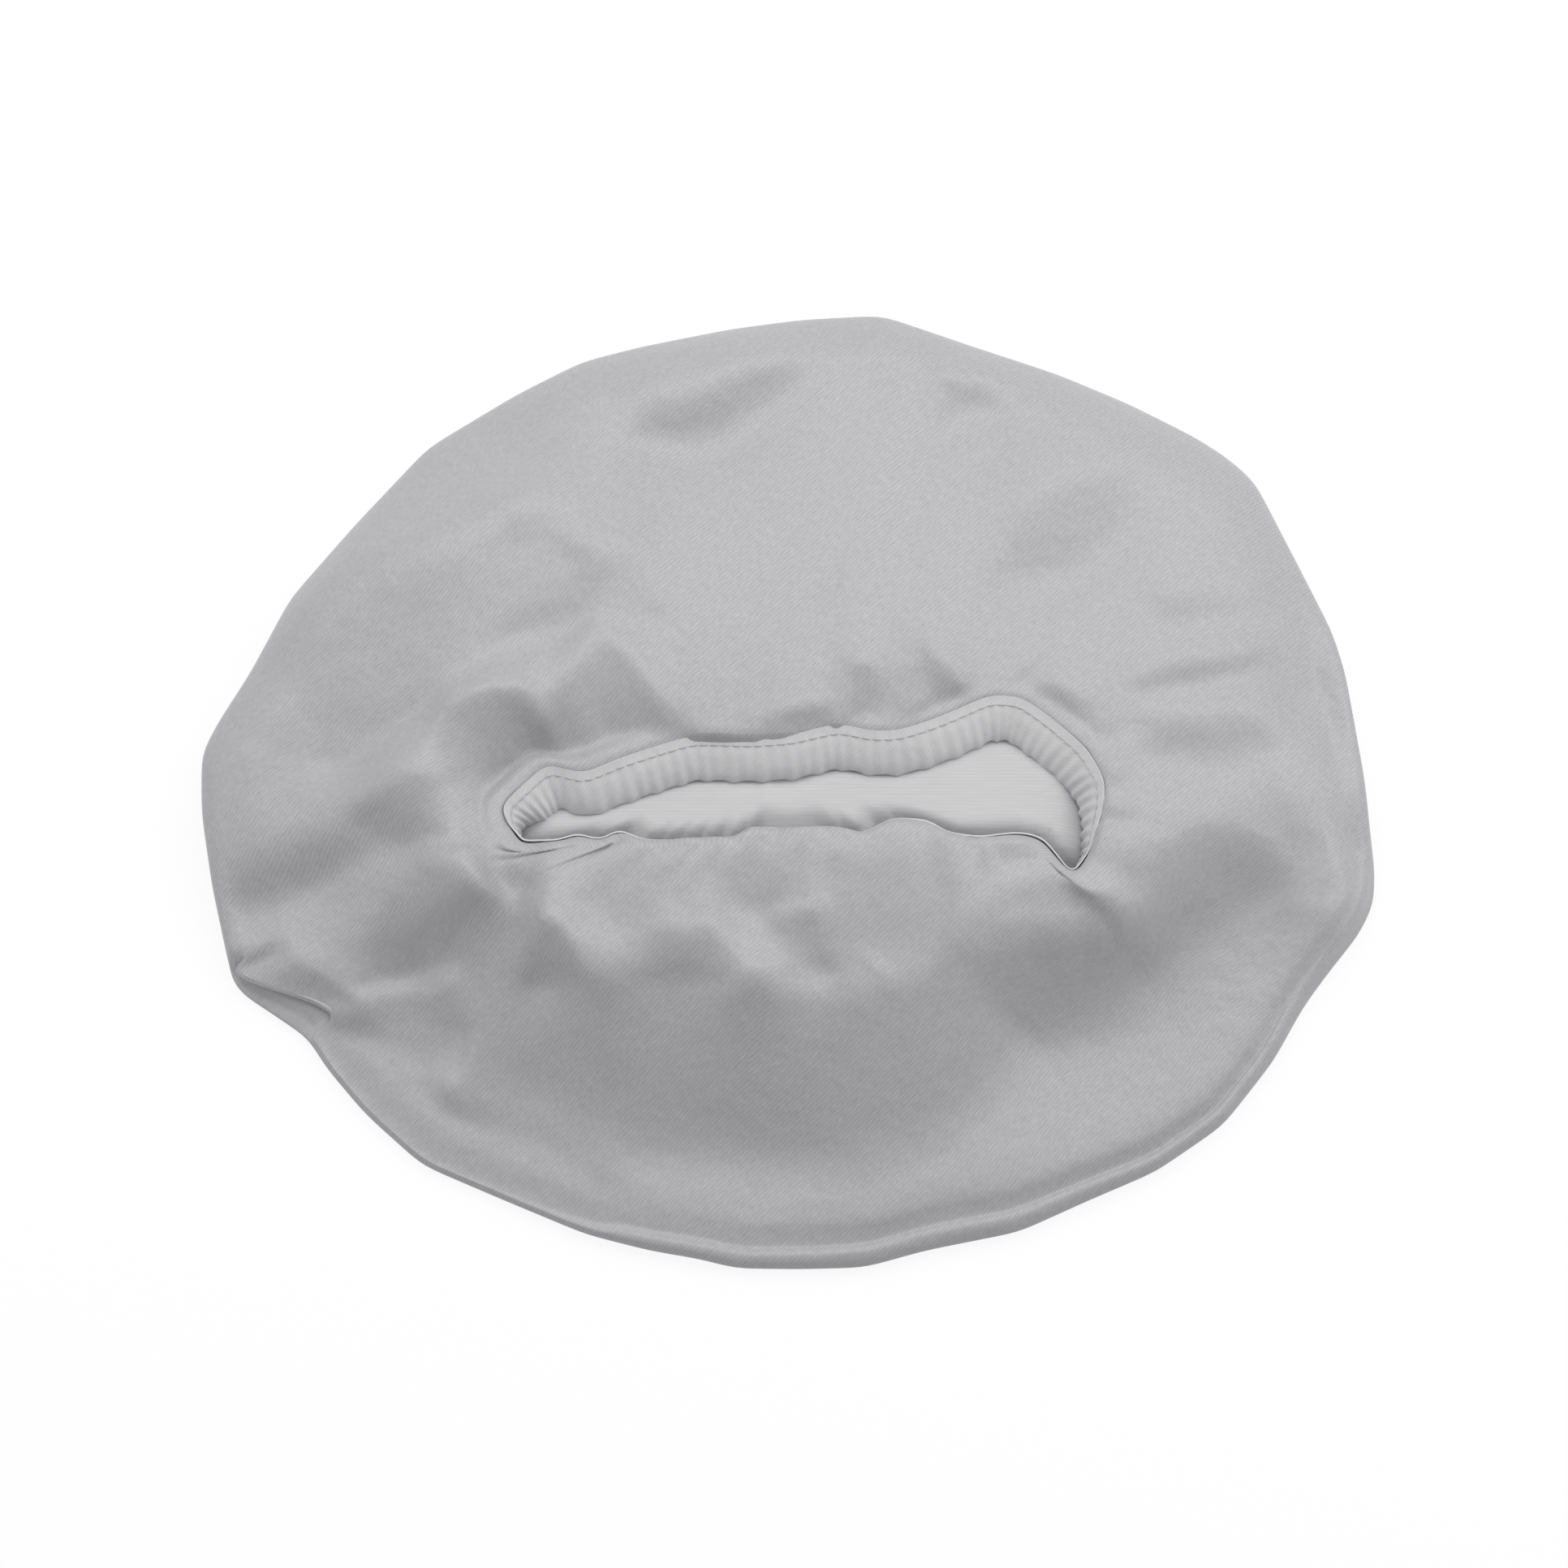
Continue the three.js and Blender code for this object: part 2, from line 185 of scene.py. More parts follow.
# matt white card for the light, and mostly its own even white for the camera
material, tree = new_material("white_table")
plain = add_node(tree, "ShaderNodeBsdfDiffuse", {"Color": colour("f2f2f2")})
glow = add_node(tree, "ShaderNodeEmission", {"Color": WHITE, "Strength": OWN_STRENGTH})
shown = add_node(tree, "ShaderNodeMixShader", {0: OWN_SHARE, 1: plain.outputs[0], 2: glow.outputs[0]})
mixed = {0: white_for_camera(tree), 1: plain.outputs[0], 2: shown.outputs[0]}
mixed = add_node(tree, "ShaderNodeMixShader", mixed)
add_node(tree, "ShaderNodeOutputMaterial", {"Surface": mixed.outputs[0]})
bpy.ops.object.select_all(action="DESELECT")
bpy.ops.mesh.primitive_plane_add(size=TABLE_SIZE, location=(0, 0, -TABLE_DROP))
table = bpy.context.object
table.name = "table"
table.data.materials.append(material)
table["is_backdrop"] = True
print(table.name, TABLE_SIZE, "m across")

# %% Set the lamps
LAMP_WHITE = (1.0, 0.99, 0.975)


def add_lamp(name, bearing, height, distance, size, energy):
    """A broad lamp that looks at the cap. Its bearing runs from +X round to +Y, and both angles are in degrees."""
    lamp = bpy.data.lights.new(name, "AREA")
    lamp.shape = "ELLIPSE"
    lamp.size, lamp.size_y = size
    lamp.energy = energy
    lamp.color = LAMP_WHITE
    bearing, height = math.radians(bearing), math.radians(height)
    level = math.cos(height)
    made = bpy.data.objects.new(name, lamp)
    made.location = distance * np.array([level * math.cos(bearing), level * math.sin(bearing), math.sin(height)])
    made.rotation_euler = (math.pi / 2 - height, 0, bearing + math.pi / 2)
    bpy.context.scene.collection.objects.link(made)
    print(name, [round(x, 2) for x in made.location], energy, "W")


add_lamp("key", bearing=84, height=57, distance=0.68, size=(1.5, 0.5), energy=3.5)
add_lamp("right_fill", bearing=5, height=32, distance=0.8, size=(0.7, 0.5), energy=1.25)
add_lamp("left_fill", bearing=175, height=32, distance=0.8, size=(0.7, 0.5), energy=0.72)
bpy.context.scene.view_settings.view_transform = "Standard"

# %% [markdown]
# ## Satin
# The outside is polyester satin: a weave of long floats that run in fine slanting lines and give a soft sheen.
# Painting the lines on flat coordinates would stretch them on steep cloth, so they follow a UV map in real
# metres that is laid out with the sheet. The real lines are about 0.7 mm apart, which is under two pixels of the
# render, so they are drawn 0.9 mm apart.

# %% Helpers for the finishes
def noise(tree, place, scale, detail):
    """Clouds about 1 / scale wide, in the units of the map that they lie on."""
    return add_node(tree, "ShaderNodeTexNoise", {"Vector": place, "Scale": scale, "Detail": detail}).outputs["Fac"]


def bands(tree, place, spacing, distortion, detail=2.0, across="Y"):
    """Bands that lie this many mm apart, on a map in millimetres."""
    wave = {"Vector": place, "Scale": math.pi / (10 * spacing), "Distortion": distortion, "Detail": detail}
    return add_node(tree, "ShaderNodeTexWave", wave, bands_direction=across).outputs["Fac"]


def cloth_map(tree, turn=0):
    """A piece's own UV map in millimetres, turned by so many degrees."""
    uv = add_node(tree, "ShaderNodeUVMap", uv_map="cloth").outputs[0]
    turned = {"Vector": uv, "Rotation": (0, 0, math.radians(turn)), "Scale": (1000,) * 3}
    return add_node(tree, "ShaderNodeMapping", turned).outputs[0]


def add_relief(tree, pattern, strength, depth, over=None):
    """Bump from a pattern with this depth in mm, and over another relief if there is one."""
    bump = {"Height": pattern, "Strength": strength, "Distance": depth * MM}
    if over is not None:
        bump["Normal"] = over
    return add_node(tree, "ShaderNodeBump", bump).outputs[0]


def dress(material, tree, pattern, colours, roughness, relief, more=None):
    """Closes a material: its colour and its gloss follow a pattern, from the hollows to the tops."""
    tint = {"Factor": pattern, 6: colour(colours[0]), 7: colour(colours[1])}
    tint = add_node(tree, "ShaderNodeMix", tint, data_type="RGBA")
    gloss = {"Value": pattern, "To Min": roughness[0], "To Max": roughness[1]}
    gloss = add_node(tree, "ShaderNodeMapRange", gloss)
    surface = {"Base Color": tint.outputs[2], "Roughness": gloss.outputs[0], "Normal": relief, **(more or {})}
    surface = add_node(tree, "ShaderNodeBsdfPrincipled", surface)
    add_node(tree, "ShaderNodeOutputMaterial", {"Surface": surface.outputs[0]})
    print(material.name, "has", len(tree.nodes), "nodes")
    return material


# %% Woven polyester satin
TWILL = 0.9  # mm from line to line, coarser than the real 0.7 mm so that they show


def satin_finish(name, colours, roughness):
    """Satin: slanting floats with a soft gloss, whose tone wanders a little over the sheet."""
    material, tree = new_material(name)
    floats = cloth_map(tree, turn=-45)
    stretched = add_node(tree, "ShaderNodeMapping", {"Vector": floats, "Scale": (0.6, 1.5, 1)}).outputs[0]
    yarn = noise(tree, stretched, scale=1.0, detail=3.0)
    weave = mix_in(tree, bands(tree, floats, TWILL, distortion=1.6, detail=1.0), 0.3, yarn)
    wander, pucker = (noise(tree, floats, scale, detail=2.0) for scale in (0.35, 0.11))
    tone = {"Value": mix_in(tree, wander, 0.3, weave), "From Min": 0.3, "From Max": 1.3}
    tone = add_node(tree, "ShaderNodeMapRange", tone).outputs[0]
    relief = add_relief(tree, weave, strength=0.22, depth=0.06)
    relief = add_relief(tree, pucker, strength=0.5, depth=1.2, over=relief)
    return dress(material, tree, tone, colours, roughness, relief, {"IOR": 1.5})


satin = satin_finish("polyester_satin", ("9b9b9f", "bababd"), (0.48, 0.36))

# %% [markdown]
# ## The outline and the mouth
# Two closed lines carry the whole form: the rim on which the cloth turns from the crown to the upper side, and
# the edge of the cloth at the mouth. Both are read in the photograph as a few corners, because the cloth lies in
# nearly straight stretches with soft corners, and a blur along the line rounds them.

# %% Corners of the two lines, in the photograph's pixels
RIM_BACK = [
    (1680, 950), (1658, 829), (1642, 779), (1601, 699), (1546, 593), (1511, 563), (1471, 538), (1391, 498),
    (1302, 461), (1201, 428), (1087, 389), (990, 394), (900, 406), (788, 428), (717, 446), (637, 486),
    (527, 552), (437, 647), (357, 738), (308, 829), (269, 889), (248, 928), (248, 1000), (261, 1092),
    (284, 1200),
]
RIM_FRONT = [
    (296, 1222), (330, 1244), (380, 1278), (401, 1313), (450, 1371), (520, 1434), (620, 1477), (722, 1520),
    (800, 1540), (865, 1551), (905, 1562), (985, 1563), (1065, 1561), (1140, 1540), (1256, 1517),
    (1342, 1478), (1424, 1443), (1507, 1386), (1569, 1307), (1606, 1240), (1636, 1199), (1675, 1150),
    (1693, 1113), (1694, 1070),
]
MOUTH_FAR = [
    (1369, 990), (1367, 956), (1341, 916), (1298, 880), (1258, 853), (1218, 851), (1192, 863), (1152, 880),
    (1106, 895), (1072, 895), (1033, 886), (973, 900), (925, 903), (852, 901), (811, 913), (764, 928),
    (718, 946), (672, 932), (645, 955), (611, 985),
]
MOUTH_NEAR = [
    (613, 1015), (632, 1045), (688, 1046), (711, 1036), (739, 1047), (761, 1031), (790, 1046), (826, 1046),
    (914, 1042), (924, 1028), (963, 1032), (1033, 1029), (1066, 1039), (1099, 1018), (1145, 1021),
    (1159, 1035), (1205, 1042), (1252, 1035), (1278, 1040), (1299, 1066), (1318, 1084), (1337, 1081),
    (1357, 1050),
]
print(len(RIM_BACK) + len(RIM_FRONT), "corners at the rim and", len(MOUTH_FAR) + len(MOUTH_NEAR), "at the mouth")

# %% Draw the two lines
SPOKES = 400
FINE = 8000  # points of a line before the spokes are placed on it
CREST_HEIGHT = 33  # mm, at the near side of the mouth
BACK_HEIGHT, FRONT_HEIGHT = 8, 2.5  # mm, where the rim's outline is seen
RIM_BLUR, CREST_BLUR, CALM_BLUR = 3, 2.2, 9  # mm
RIM_START, CREST_START = 0, -6  # mm, y of the first spoke
TUCK = (350, 1258)  # pixels
TUCK_CROWD, TUCK_WIDTH = 2.5, 0.022  # how much closer the spokes are there, and over which share of the rim


def closed(line):
    """The line with its first point once more at its end."""
    return np.vstack([line, line[:1]])


def run_along(line):
    """Length from the first point of a line to each of its points."""
    return np.r_[0, np.cumsum(np.linalg.norm(np.diff(line, axis=0), axis=1))]


def blurred(values, steps):
    """Values round the cap, blurred over so many of their steps."""
    waves = np.fft.fftfreq(len(values)).reshape(-1, *[1] * (values.ndim - 1))
    return np.fft.ifft(np.fft.fft(values, axis=0) * np.exp(-2 * (np.pi * steps * waves) ** 2), axis=0).real


def between(line, known, places):
    """Plan points of a line at these places, where its own points lie at the known ones."""
    return np.column_stack([np.interp(places, known, line[:, k]) for k in (0, 1)])


def rounded_line(corners, rounding, start):
    """A closed line through the corners, blurred over this many mm, as many evenly spaced points.
    It starts on the right, where y is nearest to start, and runs counter-clockwise."""
    length = run_along(closed(corners))
    at = np.linspace(0, length[-1], FINE, endpoint=False)
    line = blurred(between(closed(corners), length, at), rounding / at[1])
    first = np.argmin(np.abs(line[:, 1] - start) + 1000 * (line[:, 0] < 0))
    return np.roll(line, -first, axis=0)


def at_shares(line, shares):
    """Points of a closed line at these shares of its length."""
    return between(closed(line), np.arange(len(line) + 1), shares * len(line))


rim_corners = np.vstack([on_plan(RIM_BACK, BACK_HEIGHT), on_plan(RIM_FRONT, FRONT_HEIGHT)])
rim_line = rounded_line(rim_corners, RIM_BLUR, RIM_START)
crest_corners = np.vstack([on_plan(MOUTH_FAR, CREST_HEIGHT - 1), on_plan(MOUTH_NEAR, CREST_HEIGHT)])
crest_line = rounded_line(crest_corners, CREST_BLUR, CREST_START)
calm_line = rounded_line(crest_corners, CALM_BLUR, CREST_START)
# the spokes crowd together where the rim has its tuck, at the lower left
to_tuck = np.linalg.norm(rim_line - on_plan([TUCK], FRONT_HEIGHT), axis=1)
even = np.linspace(0, 1, FINE // 2 + 1)
from_tuck = (even[1:] - np.argmin(to_tuck) / len(rim_line)) / TUCK_WIDTH
crowd = np.r_[0, np.cumsum(1 + TUCK_CROWD * np.exp(-(from_tuck**2)))]
shares = np.interp(np.linspace(0, crowd[-1], SPOKES, endpoint=False), crowd, even)
rim, crest, calm = (at_shares(line, shares) for line in (rim_line, crest_line, calm_line))
for name, line in (("rim", rim), ("crest", crest)):
    print(name, "from", line.min(0).round(1), "to", line.max(0).round(1), "mm")

# %% [markdown]
# ## The sheet as it lies
# A spoke of cloth runs from the middle of the crown out to the rim, round it, up the slope to the crest and down
# into the mouth. Along the front the rim is a flat rolled lip with a groove behind it and then a shelf, a steep
# slope and a level crest. Round the back it is a puffed roll and one long slope. The crown lies on the table
# with a few shallow wrinkles. Lofting these spokes keeps the sheet whole, and its measured lengths give the UV
# map.

# %% Sections of the rim
# each is a list of places from the crown to the shoulder: mm in from the rim's outline, and mm of height
LIP_SECTION = [
    (10, 0), (4, 0), (1, 0.6), (0, 1.7), (0.4, 2.9), (1.4, 4.1), (2.9, 5.1), (4.5, 5.1), (5.8, 4.6),
    (8.2, 5.8), (11.0, 7.3), (16, 7.9),
]
ROLL_SECTION = [
    (14, 0), (8, 0), (2.5, 2), (0.4, 4.6), (0, 7.2), (0.6, 9.5), (2.2, 11.8), (4.6, 13.7), (7.4, 15.4),
    (10.2, 16.9), (13, 18.2), (16, 19.2),
]
# left of the lip's roll the rim is a thin fold with no groove behind it
FOLD_SECTION = [
    (10, 0), (4, 0), (1, 0.4), (0, 1.1), (0.3, 1.9), (0.9, 2.7), (2.0, 3.2), (3.4, 3.2), (5, 3.3),
    (7.6, 4.0), (11, 5.0), (16, 6.6),
]
# at the tuck: a flat tongue below and the roll's folded edge over it; the third number is how many mm further in
# the cloth lies for each mm of the tuck's step
TUCK_SECTION = [
    (10, 0, 0), (4, 0, 0), (0.8, 0.4, 0), (0, 1.2, 0), (1, 2.0, 0), (1.8, 2.4, 0.6), (2.6, 2.8, 1),
    (2.8, 3.4, 1), (0.8, 4.0, 1), (1.2, 4.8, 1), (3.6, 5.5, 1), (16, 7, 0),
]
RIM_ROWS, SLOPE_ROWS, HEM_ROWS = 36, 56, 12


def smooth_through(points, count):
    """So many points along a smooth line through these."""
    line = np.array(points, float)
    line = np.vstack([2 * line[0] - line[1], line, 2 * line[-1] - line[-2]])
    at = np.linspace(0, len(points) - 1, count)
    k = np.minimum(at.astype(int), len(points) - 2)
    f = (at - k)[:, None]
    a, b, c, d = line[k], line[k + 1], line[k + 2], line[k + 3]
    return b + 0.5 * f * (c - a + f * (2 * a - 5 * b + 4 * c - d + f * (3 * (b - c) + d - a)))


def ease(value, low, high):
    """0 below low, 1 above high and smooth between them."""
    t = np.clip((value - low) / (high - low), 0, 1)
    return t * t * (3 - 2 * t)


all_sections = (LIP_SECTION, FOLD_SECTION, ROLL_SECTION, TUCK_SECTION)
rim_sections = [smooth_through(section, RIM_ROWS) for section in all_sections]
print(len(rim_sections), "sections of", RIM_ROWS, "points")

# %% Directions and heights at the mouth
HEM_TURN = 3  # mm that the cloth's edge lies inside the crest
FAR_DROP = 2.6  # mm that the far side of the crest lies lower than the near side
END_DIP, DIP_X, DIP_WIDTH = 3, -66, 16  # mm: the left end of the far side has sunk into the mouth
NEAR_EDGE, FAR_EDGE = 24.2, 27  # mm, height of the cloth's edge


def unit(vectors):
    """The same directions with length 1."""
    return vectors / np.linalg.norm(vectors, axis=-1, keepdims=True)


def round_mouth(line):
    """Unit vectors along a closed line and out of it, and 1 at its near side and 0 at its far side."""
    around = unit(np.roll(line, -1, axis=0) - np.roll(line, 1, axis=0))
    away = np.column_stack([around[:, 1], -around[:, 0]])
    return around, away, ease(-away[:, 1], -1, 1)


def end_dip(x, near):
    """How far the hem has sunk at the left end of the mouth, in mm."""
    return END_DIP * np.exp(-(((x - DIP_X) / DIP_WIDTH) ** 2)) * (1 - near)


def edge_height(x, near):
    """Height of the cloth's edge at the mouth, in mm."""
    return FAR_EDGE + (NEAR_EDGE - FAR_EDGE) * near - end_dip(x, near)


_, away, near_side = round_mouth(calm)
mouth = crest - HEM_TURN * away
dip = end_dip(mouth[:, 0], near_side)
crest_height = CREST_HEIGHT - FAR_DROP * (1 - near_side) - dip
print("crest from", crest_height.min().round(1), "to", crest_height.max().round(1), "mm high")

# %% Loft the rim
span = np.linalg.norm(crest - rim, axis=1)
inward = (crest - rim) / span[:, None]
# the rim changes its form with its place, in mm towards the front and in mm from left to right
forward = -rim[:, 1]
on_left = rim[:, 0] < 0
left_lip = 0.55 * ease(forward, 12, 54) + 0.45 * ease(forward, 55, 60)
lip_share = np.where(on_left, left_lip, ease(forward, 0, 24))
# the shoulder behind the rim comes down more slowly than the rim itself
low_share = np.where(on_left, ease(forward, 12, 80), ease(forward, -10, 42))
thin_share = 1 - ease(rim[:, 0], -85, -35)
narrow = 1 - 0.3 * ease(rim[:, 0], 40, 110)  # the lip's roll is narrower at the right
tuck_share = on_left * ease(forward, 46, 50) * (1 - ease(forward, 65, 68))
tuck_step = on_left * 8 * ease(forward, 48, 64)
rim_rows = []
for row, (lip, thin, roll, tuck) in enumerate(zip(*rim_sections)):
    on_top = row > RIM_ROWS // 2
    share = lip_share + (low_share - lip_share) * ease(lip[0], 6, 16) * on_top
    low = lip[:, None] * np.vstack([narrow, np.ones(SPOKES)])
    low += (thin[:, None] - low) * thin_share
    section = roll[:, None] + (low - roll[:, None]) * share
    tucked = np.vstack([tuck[0] + tuck[2] * tuck_step, np.full(SPOKES, tuck[1])])
    fade = tuck_share * (1 - ease(tuck[0], 5, 15) * on_top)
    inset, height = section + (tucked - section) * fade
    rim_rows.append(np.column_stack([rim + inward * inset[:, None], np.maximum(height, 0)]))
rim_rows = np.array(rim_rows)
print("rim up to", rim_rows[..., 2].max().round(1), "mm high")

# %% Loft the slope and the hem
SHOULDER = 16  # mm in from the rim, where the slope begins
BASE_SLOPE = 0.05  # of the front's slope, where it isn't steep
NEAR_FALL, FAR_FALL = -1.2, 2.0  # mm out from the edge, where the hem's curve bends down
FAR_SAG = 0.9  # mm that this bend lies lower at the far side
ways = np.linspace(0, 1, SLOPE_ROWS + 1)
# in the middle of the front the steep part is low, and towards the sides it is close under the crest
climb = 0.3 * ease(rim[:, 0], 30, 90) + 0.04 * ease(-rim[:, 0], 95, 125)
begun = ease(ways[:, None], 0.02 + climb, 0.25 + climb)
ended = ease(ways[:, None], 0.5 + climb, 0.62 + climb)
steep = begun * (1 - ended) + BASE_SLOPE
front_rise = np.cumsum(steep, axis=0) - steep[0]
front_rise /= front_rise[-1]
front_share = ease(forward, -30, 85)
shoulder_height = rim_rows[-1, :, 2]
slope_rows = []
for way, front in zip(ways[1:], front_rise[1:]):
    rise = np.sin(way * np.pi / 2) * (1 - front_share) + front * front_share
    height = shoulder_height + (crest_height - shoulder_height) * rise
    inset = SHOULDER + way * (span - SHOULDER)
    slope_rows.append(np.column_stack([rim + inward * inset[:, None], height]))
slope_rows = np.array(slope_rows)

hem_rows = []
for way in np.linspace(0, 1, HEM_ROWS + 1)[1:]:
    # a curve that leaves the crest level and comes down to the cloth's edge, steeply at the near side
    early, middle, late = (1 - way) ** 2, 2 * way * (1 - way), way**2
    out = early * HEM_TURN + middle * (FAR_FALL + (NEAR_FALL - FAR_FALL) * near_side)
    height = (early + middle) * crest_height - middle * FAR_SAG * (1 - near_side)
    height += late * edge_height(mouth[:, 0], near_side)
    hem_rows.append(np.column_stack([mouth + away * out[:, None], height]))
hem_rows = np.array(hem_rows)
print("slope of", len(slope_rows), "rows and hem of", len(hem_rows))

# %% Lay the crown on the table
CROWN_WRINKLES, WRINKLE_RISE = 7, 2  # how many run out from the middle, and mm
underside = rim_rows[0, :, :2]
bearing = np.arctan2(underside[:, 1], underside[:, 0])
crown_rows = []
for share in np.linspace(0.08, 0.94, 11):
    wave = 0.5 + 0.5 * np.sin(CROWN_WRINKLES * bearing + 1.4 * np.sin(3 * bearing) + 4 * share)
    rise = WRINKLE_RISE * wave**2 * ease(share, 0.08, 0.35) * (1 - ease(share, 0.5, 0.8))
    crown_rows.append(np.column_stack([underside * share, rise]))
crown_rows = np.array(crown_rows)
sheet = np.concatenate([crown_rows, rim_rows, slope_rows, hem_rows])
FIRST_RIM, FIRST_SLOPE = len(crown_rows), len(crown_rows) + len(rim_rows)
FIRST_HEM = FIRST_SLOPE + len(slope_rows)
print("sheet of", sheet.shape[0], "rows and", sheet.shape[1], "spokes")

# %% [markdown]
# ## Folds
# Satin shows its folds as facets: one that leans towards the camera turns away from the light and is dark, and
# one that leans to the back is bright. Pushing points up and down by hand would take many tries, so each facet
# is drawn as an outline on the photograph with a lean, and the height whose slopes come closest to all the leans
# is solved at once with a Fourier transform. That gives facets that run softly into each other, as cloth does.

# %% Outlines of the facets
# rise in mm for each mm up the picture and to its right, blur in mm, corners in the photograph's pixels
FACETS = [
    (0.68, 0, 3, [(545, 880), (600, 862), (650, 862), (675, 900), (680, 930), (640, 940), (605, 965),
        (550, 965), (535, 930)]),
    (0.48, 0, 3, [(735, 780), (700, 840), (668, 905), (700, 945), (720, 950), (770, 925), (850, 905),
        (790, 840), (765, 800)]),
    (0.6, 0, 2, [(935, 900), (975, 880), (1020, 872), (1025, 890), (1000, 893)]),
    (0.4, 0, 2, [(1050, 825), (1075, 822), (1080, 850), (1068, 888), (1040, 885), (1052, 855)]),
    (0.55, 0, 2, [(1140, 800), (1160, 822), (1190, 850), (1180, 868), (1130, 890), (1105, 892),
        (1140, 860)]),
    (0.4, 0, 3, [(1280, 850), (1310, 845), (1335, 870), (1330, 905), (1310, 890)]),
    (0.46, 0, 6, [(775, 540), (850, 545), (900, 530), (955, 485), (990, 455), (930, 455), (860, 490),
        (790, 505)]),
    (0.34, 0, 4, [(1160, 462), (1240, 475), (1235, 505), (1190, 500), (1155, 540)]),
    (0.28, 0, 6, [(1225, 715), (1240, 645), (1310, 590), (1405, 585), (1395, 640), (1350, 690),
        (1290, 715)]),
    (0.18, 0, 8, [(340, 800), (450, 720), (600, 690), (760, 700), (750, 760), (650, 790), (560, 840),
        (480, 890), (400, 910)]),
    (0.38, 0, 4, [(1405, 845), (1440, 825), (1560, 800), (1550, 825), (1480, 840)]),
    (0.24, 0, 5, [(1415, 890), (1560, 870), (1580, 915), (1500, 935), (1420, 925)]),
    (0.16, 0, 5, [(1420, 740), (1550, 725), (1550, 765), (1430, 775)]),
    (0.28, 0, 3, [(1427, 1045), (1484, 1012), (1550, 1031), (1588, 1068), (1578, 1092), (1526, 1116),
        (1470, 1165), (1430, 1235), (1385, 1272), (1290, 1286), (1205, 1224), (1195, 1170), (1224, 1178),
        (1290, 1168), (1361, 1162), (1412, 1120)]),
    (0.35, 0, 4, [(277, 1104), (300, 1060), (370, 1025), (435, 1015), (440, 1045), (400, 1070),
        (340, 1095)]),
    (0.08, 0.2, 4, [(470, 1180), (485, 1110), (520, 1062), (575, 1055), (590, 1110), (570, 1170),
        (530, 1200), (450, 1210)]),
    (0.12, 0.1, 4, [(650, 1200), (668, 1145), (690, 1140), (705, 1190), (760, 1215), (740, 1420),
        (600, 1420), (560, 1380), (600, 1280)]),
    (0.1, 0, 4, [(790, 1230), (800, 1150), (840, 1165), (882, 1150), (890, 1230), (1000, 1200),
        (1010, 1420), (760, 1420)]),
    (0.5, 0, 4, [(430, 1000), (480, 960), (540, 955), (600, 975), (600, 1010), (560, 1040), (490, 1030)]),
    (-0.15, 0, 6, [(400, 950), (500, 890), (600, 800), (700, 775), (740, 770), (700, 840), (650, 860),
        (560, 870), (500, 930)]),
    (-0.07, 0, 8, [(1250, 1300), (1380, 1270), (1460, 1170), (1560, 1130), (1600, 1180), (1500, 1350),
        (1350, 1440), (1200, 1450)]),
    (-0.26, -0.2, 4, [(600, 1080), (650, 1090), (640, 1150), (600, 1280), (560, 1340), (530, 1330),
        (550, 1270), (585, 1180)]),
    (-0.32, 0, 5, [(290, 1130), (380, 1085), (450, 1045), (490, 1050), (470, 1110), (430, 1190),
        (310, 1205)]),
    (0.36, 0, 4, [(410, 1260), (470, 1225), (560, 1215), (575, 1260), (545, 1340), (480, 1360),
        (420, 1310)]),
    (0.45, 0, 2.5, [(640, 1205), (652, 1160), (670, 1135), (692, 1150), (710, 1205)]),
    (0.45, 0, 2.5, [(788, 1205), (796, 1165), (815, 1146), (850, 1158), (878, 1146), (893, 1170),
        (898, 1205)]),
    (-0.08, 0, 3, [(705, 1120), (790, 1120), (780, 1215), (745, 1222), (718, 1200)]),
    (-0.08, 0, 3, [(905, 1120), (985, 1120), (995, 1190), (915, 1200)]),
    (-0.42, 0, 6, [(430, 700), (520, 600), (600, 545), (690, 560), (640, 640), (520, 680)]),
    (-0.22, 0, 6, [(1570, 850), (1620, 850), (1665, 960), (1680, 1050), (1620, 1060), (1590, 960)]),
    (-0.12, 0, 4, [(585, 1030), (660, 1045), (685, 1090), (670, 1150), (605, 1165), (580, 1090)]),
    (-0.4, 0, 3, [(1230, 1060), (1290, 1050), (1330, 1100), (1390, 1080), (1400, 1110), (1360, 1140),
        (1290, 1145), (1220, 1145)]),
    (0.32, 0, 3, [(950, 1130), (1010, 1125), (1030, 1190), (960, 1200)]),
    (0.12, 0, 4, [(1050, 1060), (1160, 1055), (1170, 1110), (1060, 1115)]),
    (0.14, 0, 6, [(600, 640), (690, 630), (710, 690), (610, 690)]),
    (0.12, 0, 6, [(715, 690), (790, 680), (815, 760), (735, 775)]),
    (0.15, 0, 4, [(1055, 440), (1125, 435), (1115, 485), (1065, 480)]),
    (0.2, 0, 5, [(315, 885), (420, 855), (490, 880), (440, 935), (330, 940)]),
    (-0.16, 0, 4, [(1590, 1055), (1680, 1050), (1690, 1110), (1640, 1135), (1580, 1110)]),
    (0.08, 0, 5, [(690, 1060), (1240, 1050), (1180, 1180), (720, 1140)]),
    (0.3, 0, 5, [(440, 1330), (560, 1350), (700, 1400), (745, 1450), (740, 1500), (620, 1465),
        (520, 1425)]),
]
print(len(FACETS), "facets")

# %% Solve the height of the folds
GRID_LOW, GRID_HIGH = np.array([-180, -150]), np.array([180, 150])  # mm, as seen, with a point every mm
SETTLE = 45  # mm over which a fold comes back to the level of the sheet
ACROSS = 0.3  # how much the slopes across count
ROUNDS, HASTE = 12, 0.7  # tries, and how much of what is missing each of them adds
grid_x, grid_up = np.meshgrid(*(np.arange(low, high) for low, high in zip(GRID_LOW, GRID_HIGH)))
wave_up, wave_x = np.meshgrid(*(np.fft.fftfreq(n) * 2 * np.pi for n in grid_x.shape), indexing="ij")


